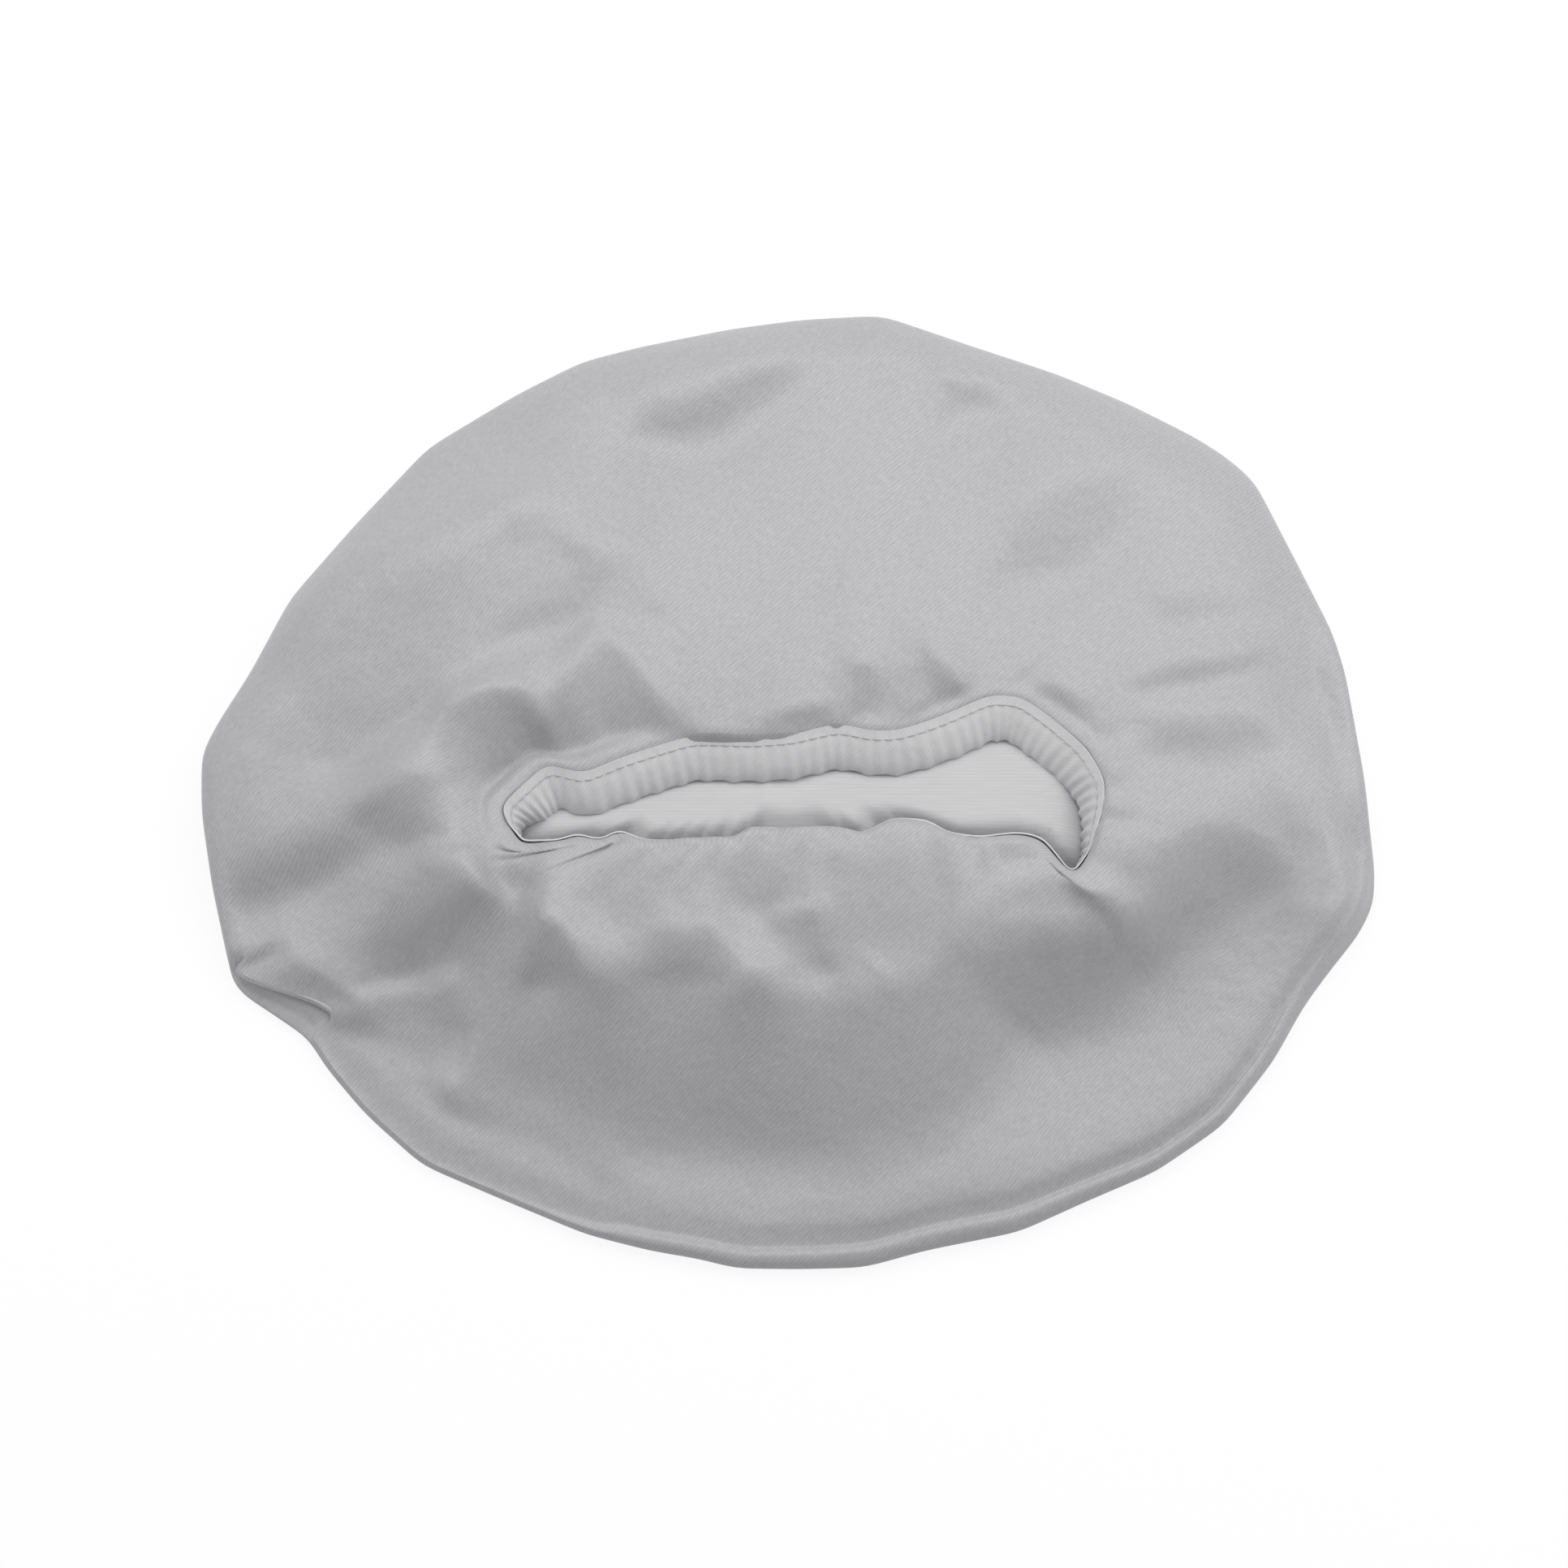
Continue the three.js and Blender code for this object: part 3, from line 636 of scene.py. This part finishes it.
def to_stretch(ax, au, bx, bu):
    """For each point of the grid: how far along a stretch it lies, 0 to 1, and how far off it, across and up."""
    share = ((grid_x - ax) * (bx - ax) + (grid_up - au) * (bu - au)) / ((bx - ax) ** 2 + (bu - au) ** 2)
    share = np.clip(share, 0, 1)
    return share, grid_x - ax - share * (bx - ax), grid_up - au - share * (bu - au)


def facet_cover(corners, blur):
    """1 inside a facet and 0 outside it, soft over this many mm at its edge."""
    inside = np.zeros(grid_x.shape, bool)
    gap = np.full(grid_x.shape, np.inf)
    for (ax, au), (bx, bu) in zip(corners, np.roll(corners, -1, axis=0)):
        _, off_x, off_up = to_stretch(ax, au, bx, bu)
        gap = np.minimum(gap, np.hypot(off_x, off_up))
        beside = grid_x < (bx - ax) * (grid_up - au) / (bu - au + 1e-9) + ax
        inside ^= ((au > grid_up) != (bu > grid_up)) & beside
    return ease(np.where(inside, gap, -gap), -blur, blur)


def height_from_leans(lean_up, lean_right):
    """The height whose slopes are nearest to these leans, up the picture above all."""
    pull = wave_up * np.fft.fft2(lean_up) + ACROSS * wave_x * np.fft.fft2(lean_right)
    return np.fft.ifft2(-1j * pull / (wave_up**2 + ACROSS * wave_x**2 + SETTLE**-2)).real


wanted = np.array([facet[:2] for facet in FACETS])
covers = [facet_cover(as_seen(corners), blur) for *_, blur, corners in FACETS]
amounts = wanted.copy()
for _ in range(ROUNDS):
    # neighbours work against each other, so each facet is raised until it leans as it should
    fold = height_from_leans(*np.tensordot(amounts.T, covers, 1))
    slopes = np.gradient(fold)
    reached = np.array([[(slope * cover).sum() / cover.sum() for slope in slopes] for cover in covers])
    amounts += HASTE * (wanted - reached) * (wanted != 0)
missed = np.abs(wanted - reached)[:, 0].max()
print("folds, mm:", fold.min().round(2), "to", fold.max().round(2), "leans missed by", missed.round(3))

# %% [markdown]
# ## Creases
# Some folds are narrow lines: the long valley above the left of the mouth, pinched pairs on the near lip and
# single wrinkles on the back panel. Each is a line on the photograph with a height and a width to each side,
# because a crease in satin is often sharp on one side and soft on the other. The last one is a broad swell.

# %% Press the creases
# height in mm, width to the left and right of its direction in mm, points in the photograph's pixels
CREASES = [
    (-1.3, 4, 7, [(328, 957), (435, 934), (501, 892), (557, 850), (636, 794), (687, 776), (733, 766),
        (799, 766)]),
    (-0.7, 1.6, 2.6, [(974, 1125), (984, 1035)]),
    (-0.9, 1.6, 2.6, [(1002, 1172), (1031, 1040)]),
    (0.7, 1.4, 2.2, [(1040, 1160), (1066, 1172), (1088, 1196), (1104, 1228)]),
    (0.8, 3.0, 1.2, [(1187, 1050), (1172, 1140), (1152, 1228)]),
    (-0.6, 5.0, 1.4, [(1118, 740), (1140, 600), (1162, 465)]),
    (-0.9, 1.5, 2.2, [(990, 760), (1014, 738), (1042, 688)]),
    (0.6, 2.0, 1.2, [(862, 750), (848, 782), (835, 818)]),
    (0.35, 1.0, 1.0, [(372, 842), (433, 826)]),
    (0.6, 1.4, 2.4, [(1394, 1128), (1384, 1180), (1378, 1236)]),
    (0.5, 1.4, 2.0, [(1362, 1132), (1350, 1190), (1352, 1226)]),
    (-0.7, 1.5, 2.5, [(884, 1160), (880, 1110), (886, 1050)]),
    (-0.5, 1.5, 2.5, [(760, 1200), (745, 1300), (740, 1420)]),
    (0.6, 2.0, 3.0, [(690, 1140), (708, 1190), (756, 1216)]),
    (3.8, 11, 11, [(500, 1060), (620, 1085), (740, 1100)]),
]
CREASE_END = 0.3  # share of its length over which a crease begins and ends


def crease_height(points, left, right):
    """1 on the line, falling off over these widths to its left and right, and at its ends."""
    length = run_along(points)
    best = np.full(grid_x.shape, np.inf)
    height = np.zeros(grid_x.shape)
    for k, ((ax, au), (bx, bu)) in enumerate(zip(points[:-1], points[1:])):
        share, off_x, off_up = to_stretch(ax, au, bx, bu)
        gap = np.hypot(off_x, off_up)
        width = np.where((bx - ax) * off_up - (bu - au) * off_x > 0, left, right)
        along = (length[k] + share * (length[k + 1] - length[k])) / length[-1]
        whole = np.minimum(ease(along, 0, CREASE_END), ease(1 - along, 0, CREASE_END))
        height = np.where(gap < best, np.exp(-((gap / width) ** 2)) * whole, height)
        best = np.minimum(best, gap)
    return height


for amount, left, right, points in CREASES:
    fold += amount * crease_height(as_seen(points), left, right)
print(len(CREASES), "creases pressed")

# %% [markdown]
# ## The folds on the sheet
# The solved height is laid on the upper side as the camera sees it. The elastic also draws small pleats out from
# the mouth, no two alike, so they come from seeded random numbers. Cloth can't sink through what lies under it:
# a soft floor keeps the upper layers over the lower ones and over the casing.

# %% Lay the folds and the pleats on the sheet
PLEATS = 30
TOP_ROW = FIRST_RIM + 16  # from here on the sheet is the upper side
EDGE_FLOOR, INNER_FLOOR = 2.8, 4.2  # mm: the upper layers come no lower, at the rim and inside it
OVER_CASING, CASING_REACH = 29.2, 3  # mm: they lie this high over the casing, so far out from the crest
LEDGE = 6  # mm further out, over which they sink gently; then they may sink steeply
NEAR_SINK, FAR_SINK, STEEP_SINK = 0.3, 0.75, 1.1  # mm down for each mm out
SOFTNESS = 0.5  # mm


def fold_at(x, up):
    """Height of the folds at as-seen places, read between the points of the grid."""
    i, j = up - GRID_LOW[1], x - GRID_LOW[0]
    i0, j0 = i.astype(int), j.astype(int)
    fi, fj = i - i0, j - j0
    upper = fold[i0, j0] * (1 - fj) + fold[i0, j0 + 1] * fj
    lower = fold[i0 + 1, j0] * (1 - fj) + fold[i0 + 1, j0 + 1] * fj
    return upper * (1 - fi) + lower * fi


rng = np.random.default_rng(12)
*along_edge, whole_edge = run_along(closed(mouth))
pleat = np.zeros(sheet.shape[:2])
lip_gap = np.zeros(sheet.shape[:2])
lip_gap[:FIRST_HEM] = np.linalg.norm(sheet[:FIRST_HEM, :, :2] - crest, axis=2)
for k in range(PLEATS):
    middle = whole_edge * (k + rng.uniform(-0.35, 0.35)) / PLEATS
    width, depth, reach = rng.uniform(1.6, 3.6), rng.uniform(0.5, 1.6), rng.uniform(5, 18)
    beside = (along_edge - middle + whole_edge / 2) % whole_edge - whole_edge / 2
    pleat -= depth * np.exp(-((beside / width) ** 2)) * np.exp(-lip_gap / reach)

hold = np.zeros(len(sheet))  # how much of the folds each row takes
hold[FIRST_RIM:FIRST_SLOPE] = ease(np.arange(RIM_ROWS), 14, 26)
hold[FIRST_SLOPE:FIRST_HEM] = 1
hold[FIRST_HEM:] = 1 - ease(np.arange(HEM_ROWS), 2, 11)
height = sheet[..., 2] + hold[:, None] * (fold_at(*seen_places(sheet)) + pleat)
from_rim = np.linalg.norm(sheet[..., :2] - rim, axis=2)
past_casing = np.maximum(lip_gap - CASING_REACH, 0)
ledge = LEDGE * ease(mouth[:, 0], -70, -40)  # there is none at the left end
drop = (FAR_SINK + (NEAR_SINK - FAR_SINK) * near_side) * np.minimum(past_casing, ledge)
drop += STEEP_SINK * np.maximum(past_casing - ledge, 0)
floor = EDGE_FLOOR + (INNER_FLOOR - EDGE_FLOOR) * ease(from_rim, 2, 10)
floor = np.maximum(floor, OVER_CASING - dip - drop)
settled = floor + SOFTNESS * np.logaddexp(0, (height - floor) / SOFTNESS)
# the hem goes up and down with the crest from which it turns in
crest_lift = settled[FIRST_HEM - 1] - sheet[FIRST_HEM - 1, :, 2]
settled[FIRST_HEM:] = sheet[FIRST_HEM:, :, 2] + hold[FIRST_HEM:, None] * crest_lift
sheet[TOP_ROW:, :, 2] = settled[TOP_ROW:]
print("highest point, mm:", sheet[..., 2].max().round(1))

# %% [markdown]
# ## The satin shell
# The shell is one piece of cloth that is cut as a round. Its rows become a mesh with a real thickness, and its UV
# map is measured along the cloth, so that the weave keeps its size on steep and on level parts.

# %% Make the satin shell
SATIN_THICKNESS = 0.3  # mm


def cloth_lengths(rows):
    """UV in metres: the plan of the crest, with lengths measured along each spoke from there."""
    step = np.linalg.norm(np.diff(rows, axis=0), axis=2)
    length = np.vstack([np.zeros(rows.shape[1]), np.cumsum(step, axis=0)])
    length -= length[-1 - HEM_ROWS]
    stride = SPOKES // rows.shape[1]
    return (crest[::stride] + inward[::stride] * length[..., None]) * MM


def add_piece(name, mesh, material):
    """Puts a mesh into the scene and selects it."""
    mesh.materials.append(material)
    piece = bpy.data.objects.new(name, mesh)
    bpy.context.scene.collection.objects.link(piece)
    bpy.ops.object.select_all(action="DESELECT")
    piece.select_set(True)
    bpy.context.view_layer.objects.active = piece
    return piece


def make_cloth(name, rows, pole_height, thickness, material):
    """A whole sheet from rows of points in mm, closed in the middle of the crown, with this thickness inwards."""
    count = rows.shape[1]
    points = np.vstack([[(0, 0, pole_height)], rows.reshape(-1, 3)]) * MM
    ring = np.arange(count)
    after = (ring + 1) % count
    faces = [(0, 1 + b, 1 + a) for a, b in zip(ring, after)]
    for row in range(len(rows) - 1):
        here, there = 1 + row * count, 1 + (row + 1) * count
        faces += list(zip(here + ring, here + after, there + after, there + ring))
    mesh = bpy.data.meshes.new(name)
    mesh.from_pydata(points.tolist(), [], [tuple(map(int, face)) for face in faces])
    corner_points = np.zeros(len(mesh.loops), int)
    mesh.loops.foreach_get("vertex_index", corner_points)
    # the crown, of one ring of triangles and its rows of quads, takes its plan, and the rest the lengths
    lengths = np.vstack([[(0, 0)], cloth_lengths(rows).reshape(-1, 2)])[corner_points]
    crown_quads = len(rows) - len(sheet) + FIRST_RIM
    on_crown = np.arange(len(corner_points)) < count * (3 + 4 * crown_quads)
    uv = np.where(on_crown[:, None], points[corner_points, :2], lengths)
    mesh.uv_layers.new(name="cloth").data.foreach_set("uv", uv.ravel())
    piece = add_piece(name, mesh, material)
    bpy.ops.object.shade_smooth()
    wall = piece.modifiers.new("wall", "SOLIDIFY")
    wall.thickness = thickness * MM
    wall.offset = -1
    bpy.ops.object.modifier_apply(modifier="wall")
    print(name, len(piece.data.polygons), "faces")
    return piece


shell = make_cloth("satin_shell", sheet, 0, SATIN_THICKNESS, satin)
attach(shell, "root")
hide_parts("outer_shell")

# %% [markdown]
# ## Film and lining
# Inside the satin lie a thin milky film that keeps the water out and a pale woven lining, which is what the mouth
# shows. Both follow the satin at a small distance, so they are made from the same rows, moved inwards along the
# sheet's own normals. The lining is loose: it rises off the crown in the middle, and a little more in the mouth,
# between the two sides of the casing.

# %% Finishes of the film and the lining
WEFT = 0.9  # mm from thread to thread, coarser than the real ones so that they show


def film_finish():
    """Thin polyethylene film: milky and smooth, with a faint crinkle."""
    material, tree = new_material("polyethylene_film")
    place = add_node(tree, "ShaderNodeTexCoord").outputs["Object"]
    crinkle = noise(tree, place, scale=120.0, detail=4.0)
    relief = add_relief(tree, crinkle, strength=0.3, depth=0.2)
    return dress(material, tree, crinkle, ("dfe3e5", "eceff0"), (0.34, 0.22), relief, {"IOR": 1.51})


def lining_finish():
    """Pale woven lining: matt, with fine threads that run across and faint uneven bars between them."""
    material, tree = new_material("woven_lining")
    metric = cloth_map(tree)
    long = add_node(tree, "ShaderNodeMapping", {"Vector": metric, "Scale": (0.12, 1.2, 1)}).outputs[0]
    slub = noise(tree, long, scale=1.0, detail=3.0)
    weave = mix_in(tree, bands(tree, metric, WEFT, distortion=0.8, detail=1.0), 0.35, slub)
    tone = {"Value": weave, "From Min": 0.3, "From Max": 1.05}
    tone = add_node(tree, "ShaderNodeMapRange", tone).outputs[0]
    relief = add_relief(tree, weave, strength=0.2, depth=0.05)
    return dress(material, tree, tone, ("c2c2c4", "ccccce"), (0.8, 0.7), relief, {"Sheen Weight": 0.1})


film_material, lining_material = film_finish(), lining_finish()

# %% Lay the film inside the satin
FILM_DEPTH, FILM_THICKNESS = 0.6, 0.15  # mm under the satin's face
CALM_SPOKES = 4  # over which the normals are blurred
FAR_SLANT = math.radians(56)  # at the far side of the mouth the hem lies aslant, so far from hanging straight


def sheet_normals(rows):
    """Outward unit normals of a lofted sheet."""
    round_it = np.roll(rows, -1, axis=1) - np.roll(rows, 1, axis=1)
    return unit(np.cross(round_it, np.gradient(rows, axis=0)))


inside = -sheet_normals(sheet)
# the inner layers don't follow every small gather, so their normals are blurred round the cap
inside = blurred(inside.swapaxes(0, 1), CALM_SPOKES).swapaxes(0, 1)
# at the hem they turn from under the satin to behind it
turned = np.pi / 2 - FAR_SLANT * (1 - near_side)
turned = turned * ease(np.arange(HEM_ROWS), -1, HEM_ROWS - 3)[:, None]
inside[FIRST_HEM:] = np.dstack([away[:, 0] * np.sin(turned), away[:, 1] * np.sin(turned), -np.cos(turned)])
level = ease(np.arange(FIRST_HEM), FIRST_HEM - 10, FIRST_HEM - 1)[:, None, None]
inside[:FIRST_HEM] += (np.array([0, 0, -1]) - inside[:FIRST_HEM]) * level
inside = unit(inside)
film_rows = (sheet + inside * FILM_DEPTH)[:, ::2]
film = make_cloth("waterproof_film_sheet", film_rows, FILM_DEPTH, FILM_THICKNESS, film_material)

# %% Lay the lining and raise it in the mouth
LINING_DEPTH, LINING_THICKNESS = 1.2, 0.3  # mm under the satin's face
LINING_RISE, MOUTH_RISE = 13.2, 7.8  # mm, over the crown under the mouth, and so much more in its clear part
MOUTH_X, HALF_LENGTH, HALF_WIDTH = 4, 118, 72  # mm, the oval of crown that rises
UNDER_TAPE = 0.76  # share of the mouth's rise that the lining already has under the far tape
DIP_SHARE = 0.8  # how much of the hem's dip at the left end the lining follows
lining_rows = (sheet + inside * LINING_DEPTH)[:, ::2]
crown = np.array([lining_rows[FIRST_RIM] * share for share in np.linspace(0.03, 0.97, 32)])
crown_x, crown_y = crown[..., 0], crown[..., 1]
oval = np.linalg.norm((crown[..., :2] - (MOUTH_X, 0)) / (HALF_LENGTH, HALF_WIDTH), axis=2)
far, near = (mouth[side][np.argsort(mouth[side, 0])] for side in (near_side < 0.5, near_side >= 0.5))
before_far = np.interp(crown_x, far[:, 0], far[:, 1]) - crown_y
behind_near = crown_y - np.interp(crown_x, near[:, 0], near[:, 1])
in_clear = UNDER_TAPE * ease(before_far, -8, -2) + (1 - UNDER_TAPE) * ease(before_far, 4.5, 8.5)
in_clear = in_clear * ease(behind_near, 2.2, 5) * ease(-np.abs(crown_x - MOUTH_X), -78, -63)
crown[..., 2] = LINING_DEPTH + LINING_RISE * (1 - ease(oval, 0.64, 1))
crown[..., 2] += (MOUTH_RISE - DIP_SHARE * end_dip(crown_x, 0)) * in_clear
lining_rows = np.concatenate([crown, lining_rows[FIRST_RIM:]])
lining_pole = crown[0, :, 2].mean()
lining = make_cloth("lining_sheet", lining_rows, lining_pole, LINING_THICKNESS, lining_material)
for piece, node, slot in ((film, "waterproof_film", "film"), (lining, "inner_lining", "lining")):
    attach(piece, "root")
    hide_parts(node)

# %% [markdown]
# ## The casing round the elastic
# A pale woven tape folded over the cloth's edge is sewn down as a tunnel, and the elastic in it gathers the tape
# into small ruffles. At the far side of the mouth it lies aslant and shows, and at the near side it hangs under
# the lip. Its sections are placed beside the edge of the cloth: so far out towards the mouth and so far below. The
# ruffles come from a seeded wander of waves, so no two are alike.

# %% Place the tape beside the cloth's edge
COLUMNS = 800
STACK = 1.5  # mm through the three layers
NEAR_TILT = math.radians(8)  # at the near side the tape hangs a little under the cloth
columns = np.arange(COLUMNS)
tape_shares = columns / COLUMNS
tape_around, tape_away, tape_near = round_mouth(at_shares(calm_line, tape_shares))
tape_edge = at_shares(crest_line, tape_shares) - HEM_TURN * tape_away
tape_edge = np.column_stack([tape_edge, edge_height(tape_edge[:, 0], tape_near)])
slant = FAR_SLANT * (1 - tape_near) - NEAR_TILT * tape_near
tape_down = np.column_stack([-tape_away * np.sin(slant)[:, None], -np.cos(slant)])
tape_face = np.cross(np.column_stack([tape_around, np.zeros(COLUMNS)]), tape_down)


def beside_hem(column, out, below):
    """Points beside the cloth's edge: mm towards the mouth from the layers' middle, and mm below the edge."""
    from_edge = tape_face[column] * (out - STACK / 2)[:, None]
    return tape_edge[column] + from_edge + tape_down[column] * below[:, None]


print("tape along", run_along(closed(tape_edge))[-1].round(), "mm of edge")

# %% Fold the tape
RUFFLES = 104
BLUR = 25  # columns
FAR_RUFFLE, NEAR_RUFFLE = 0.3, 1.35  # how strong the ruffles are
TAPE_WALL = 0.4  # mm
# one wall of the tunnel from its sewn top to its lower fold: mm out, and mm below the edge
WALL_LINE = [(1.05, -3.6), (1.3, -1.8), (1.7, -0.2), (1.9, 1.8), (1.9, 3.8), (1.75, 5.8), (1.2, 7.3), (0.5, 8.0)]


def ring_mesh(name, sections, material, endless=True):
    """A tube through loops of points in mm, with UV in metres along and across it."""
    sections = np.array(sections).transpose(1, 0, 2)
    count, corners = sections.shape[:2]
    strips = count if endless else count - 1
    k, j = (x.ravel() for x in np.meshgrid(np.arange(strips), np.arange(corners), indexing="ij"))
    after, beside = (k + 1) % count, (j + 1) % corners
    faces = [k * corners + j, k * corners + beside, after * corners + beside, after * corners + j]
    faces = np.column_stack(faces).tolist()
    if not endless:
        faces += [list(range(corners))[::-1], list(range((count - 1) * corners, count * corners))]
    mesh = bpy.data.meshes.new(name)
    mesh.from_pydata((sections.reshape(-1, 3) * MM).tolist(), [], faces)
    along, across = run_along(closed(sections.mean(1))), run_along(closed(sections[0]))
    uv = np.zeros((len(mesh.loops), 2))
    corner_u = np.column_stack([along[k], along[k], along[k + 1], along[k + 1]])
    corner_v = np.column_stack([across[j], across[j + 1], across[j + 1], across[j]])
    uv[: 4 * len(k)] = np.column_stack([corner_u.ravel(), corner_v.ravel()])
    mesh.uv_layers.new(name="cloth").data.foreach_set("uv", (uv * MM).ravel())
    piece = add_piece(name, mesh, material)
    bpy.ops.object.shade_smooth_by_angle(angle=math.radians(50))
    print(name, len(mesh.polygons), "faces")
    return piece


mean = np.ones(BLUR) / BLUR
half = BLUR // 2
wander = np.cumsum(rng.normal(0, 1, COLUMNS))
wander -= np.linspace(0, wander[-1], COLUMNS)
wander = np.convolve(np.r_[wander[-half:], wander, wander[:half]], mean, "valid")
ruffle_phase = 2 * np.pi * RUFFLES * tape_shares + 0.35 * wander
ruffle_size = np.convolve(rng.uniform(0.35, 0.9, COLUMNS + 2 * half), mean, "valid")  # mm
ruffle_size = ruffle_size * (FAR_RUFFLE + (NEAR_RUFFLE - FAR_RUFFLE) * tape_near**2)
ruffle = ruffle_size * np.sin(ruffle_phase)
droop = 0.3 * np.sin(ruffle_phase * 0.5 + 1)  # mm that the lower fold goes up and down
sections = []
for side, wall in ((1, TAPE_WALL), (-1, TAPE_WALL), (-1, 0), (1, 0)):
    line = WALL_LINE if (side > 0) == (wall > 0) else WALL_LINE[::-1]
    for out, below in line:
        swing = ease(below, -3, 3) * ruffle
        hang = below + ease(below, 1, 7) * (droop + wall)
        sections.append(beside_hem(columns, side * (out + wall) + swing, hang))
tape_material = satin_finish("woven_tape", ("c8c8ca", "d6d6d8"), (0.66, 0.54))
casing = ring_mesh("hem_casing_tape", sections, tape_material)
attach(casing, "root")
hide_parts("hem_casing")

# %% [markdown]
# ## Elastic and sewing
# The elastic is a flat woven band. It starts in the middle of the back, runs once round and ends over its own
# start, where a zigzag tack joins it. Two rows of stitches hold the tape: the needle's row on the side of the
# mouth and the bobbin's row behind it. One stitch is made and then copied along each row. The tack is the CAD
# model's own piece, and takes the same thread.

# %% Elastic band
RIBS, CORDS = 0.8, 1.2  # mm from rib to rib and from cord to cord
OVERLAP = 18  # columns, about 9 mm
JOIN_X = 0.4  # mm
BAND_MIDDLE, LAP_STEP = -0.4, 0.55  # mm out in the tunnel, and half the step where its ends lie double
# round the band: mm out from its middle, and mm below the cloth's edge
BAND_SECTION = [
    (0.4, 0.5), (0.4, 6.1), (0.3, 6.3), (-0.3, 6.3), (-0.4, 6.1), (-0.4, 0.5), (-0.3, 0.3), (0.3, 0.3),
]


def elastic_finish():
    """Woven elastic: white, matt, with ribs across and rubber cords along it."""
    material, tree = new_material("woven_elastic")
    metric = cloth_map(tree)
    ribs = bands(tree, metric, RIBS, distortion=0.5, across="X")
    cords = bands(tree, metric, CORDS, distortion=0.3)
    weave = add_node(tree, "ShaderNodeMath", {0: ribs, 1: cords}, operation="MULTIPLY").outputs[0]
    relief = add_relief(tree, weave, strength=0.6, depth=0.15)
    return dress(material, tree, weave, ("d8d7d4", "f2f1ee"), (0.86, 0.74), relief)


back_column = np.argmin(np.abs(tape_edge[:, 0] - JOIN_X) + 1000 * (tape_edge[:, 1] < 0))
steps = np.arange(COLUMNS + OVERLAP + 1)
column = (back_column - OVERLAP // 2 + steps) % COLUMNS
lapped = np.clip((steps - OVERLAP) / (COLUMNS - OVERLAP), 0, 1)
# away from the join the band follows the ruffles
follow = np.minimum(4 * np.minimum(lapped, 1 - lapped), 1)
middle = BAND_MIDDLE + LAP_STEP * (2 * lapped - 1) + ruffle[column] * follow
sections = [beside_hem(column, middle + out, np.full(len(steps), below)) for out, below in BAND_SECTION]
elastic = ring_mesh("elastic_band_woven", sections, elastic_finish(), endless=False)
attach(elastic, "root")
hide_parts("elastic_band")

# %% Rows of stitches
PLIES = 0.35  # mm from ply to ply
THREAD_RADIUS = 0.2  # mm
PITCH, STITCH = 6, 2.4  # columns from stitch to stitch, and mm of each that shows
STITCH_OUT, STITCH_BELOW = 1.95, -1.4  # mm out from the layers' middle, and below the cloth's edge


def thread_finish():
    """Grey polyester thread: two twisted plies with a dull shine."""
    material, tree = new_material("polyester_thread")
    place = add_node(tree, "ShaderNodeTexCoord").outputs["Object"]
    metric = {"Vector": place, "Rotation": (0, 0, 0.6), "Scale": (1000,) * 3}
    metric = add_node(tree, "ShaderNodeMapping", metric).outputs[0]
    plies = bands(tree, metric, PLIES, distortion=0.4, across="X")
    relief = add_relief(tree, plies, strength=0.5, depth=0.05)
    return dress(material, tree, plies, ("b2b2b5", "cacacc"), (0.62, 0.5), relief)


def stitch_row(name, side, material):
    """Stitches along the casing's top edge, on one of its sides."""
    bpy.ops.object.select_all(action="DESELECT")
    bpy.ops.mesh.primitive_uv_sphere_add(segments=8, ring_count=6, radius=THREAD_RADIUS * MM)
    stitch = bpy.context.object
    stitch.scale = (STITCH / (2 * THREAD_RADIUS), 1, 1)
    bpy.ops.object.shade_smooth()
    stitch.data.materials.append(material)
    row = columns[::PITCH]
    out = side * STITCH_OUT + ease(STITCH_BELOW, -3, 3) * ruffle[row]
    below = np.full(len(row), STITCH_BELOW)
    middles = beside_hem(row, out, below) * MM
    ahead = beside_hem((row + 2) % COLUMNS, out, below) * MM - middles
    copies = []
    for place, way in zip(middles, ahead):
        copy = stitch.copy()
        copy.data = stitch.data.copy()
        copy.location = place
        copy.rotation_euler = (0, 0, math.atan2(way[1], way[0]))
        bpy.context.scene.collection.objects.link(copy)
        copies.append(copy)
    bpy.data.objects.remove(stitch)
    for copy in copies:
        copy.select_set(True)
    bpy.context.view_layer.objects.active = copies[0]
    bpy.ops.object.join()
    joined = bpy.context.object
    bpy.ops.object.transform_apply()
    joined.name = joined.data.name = name
    print(name, len(copies), "stitches")
    return joined


thread = thread_finish()
for name, node, side in (("needle_stitches", "needle_thread", 1), ("bobbin_stitches", "bobbin_thread", -1)):
    stitches = stitch_row(name, side, thread)
    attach(stitches, "root")
    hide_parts(node)
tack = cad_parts["elastic_join_tack"]
tack.data.materials.clear()
tack.data.materials.append(thread)
print(tack.name, "takes", thread.name)

# %% [markdown]
# ## Sizes
# The box of the finished cap is printed.

# %% Print the box of the cap
low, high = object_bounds()
print("visual box, mm:", [round(x / MM, 1) for x in low], [round(x / MM, 1) for x in high])
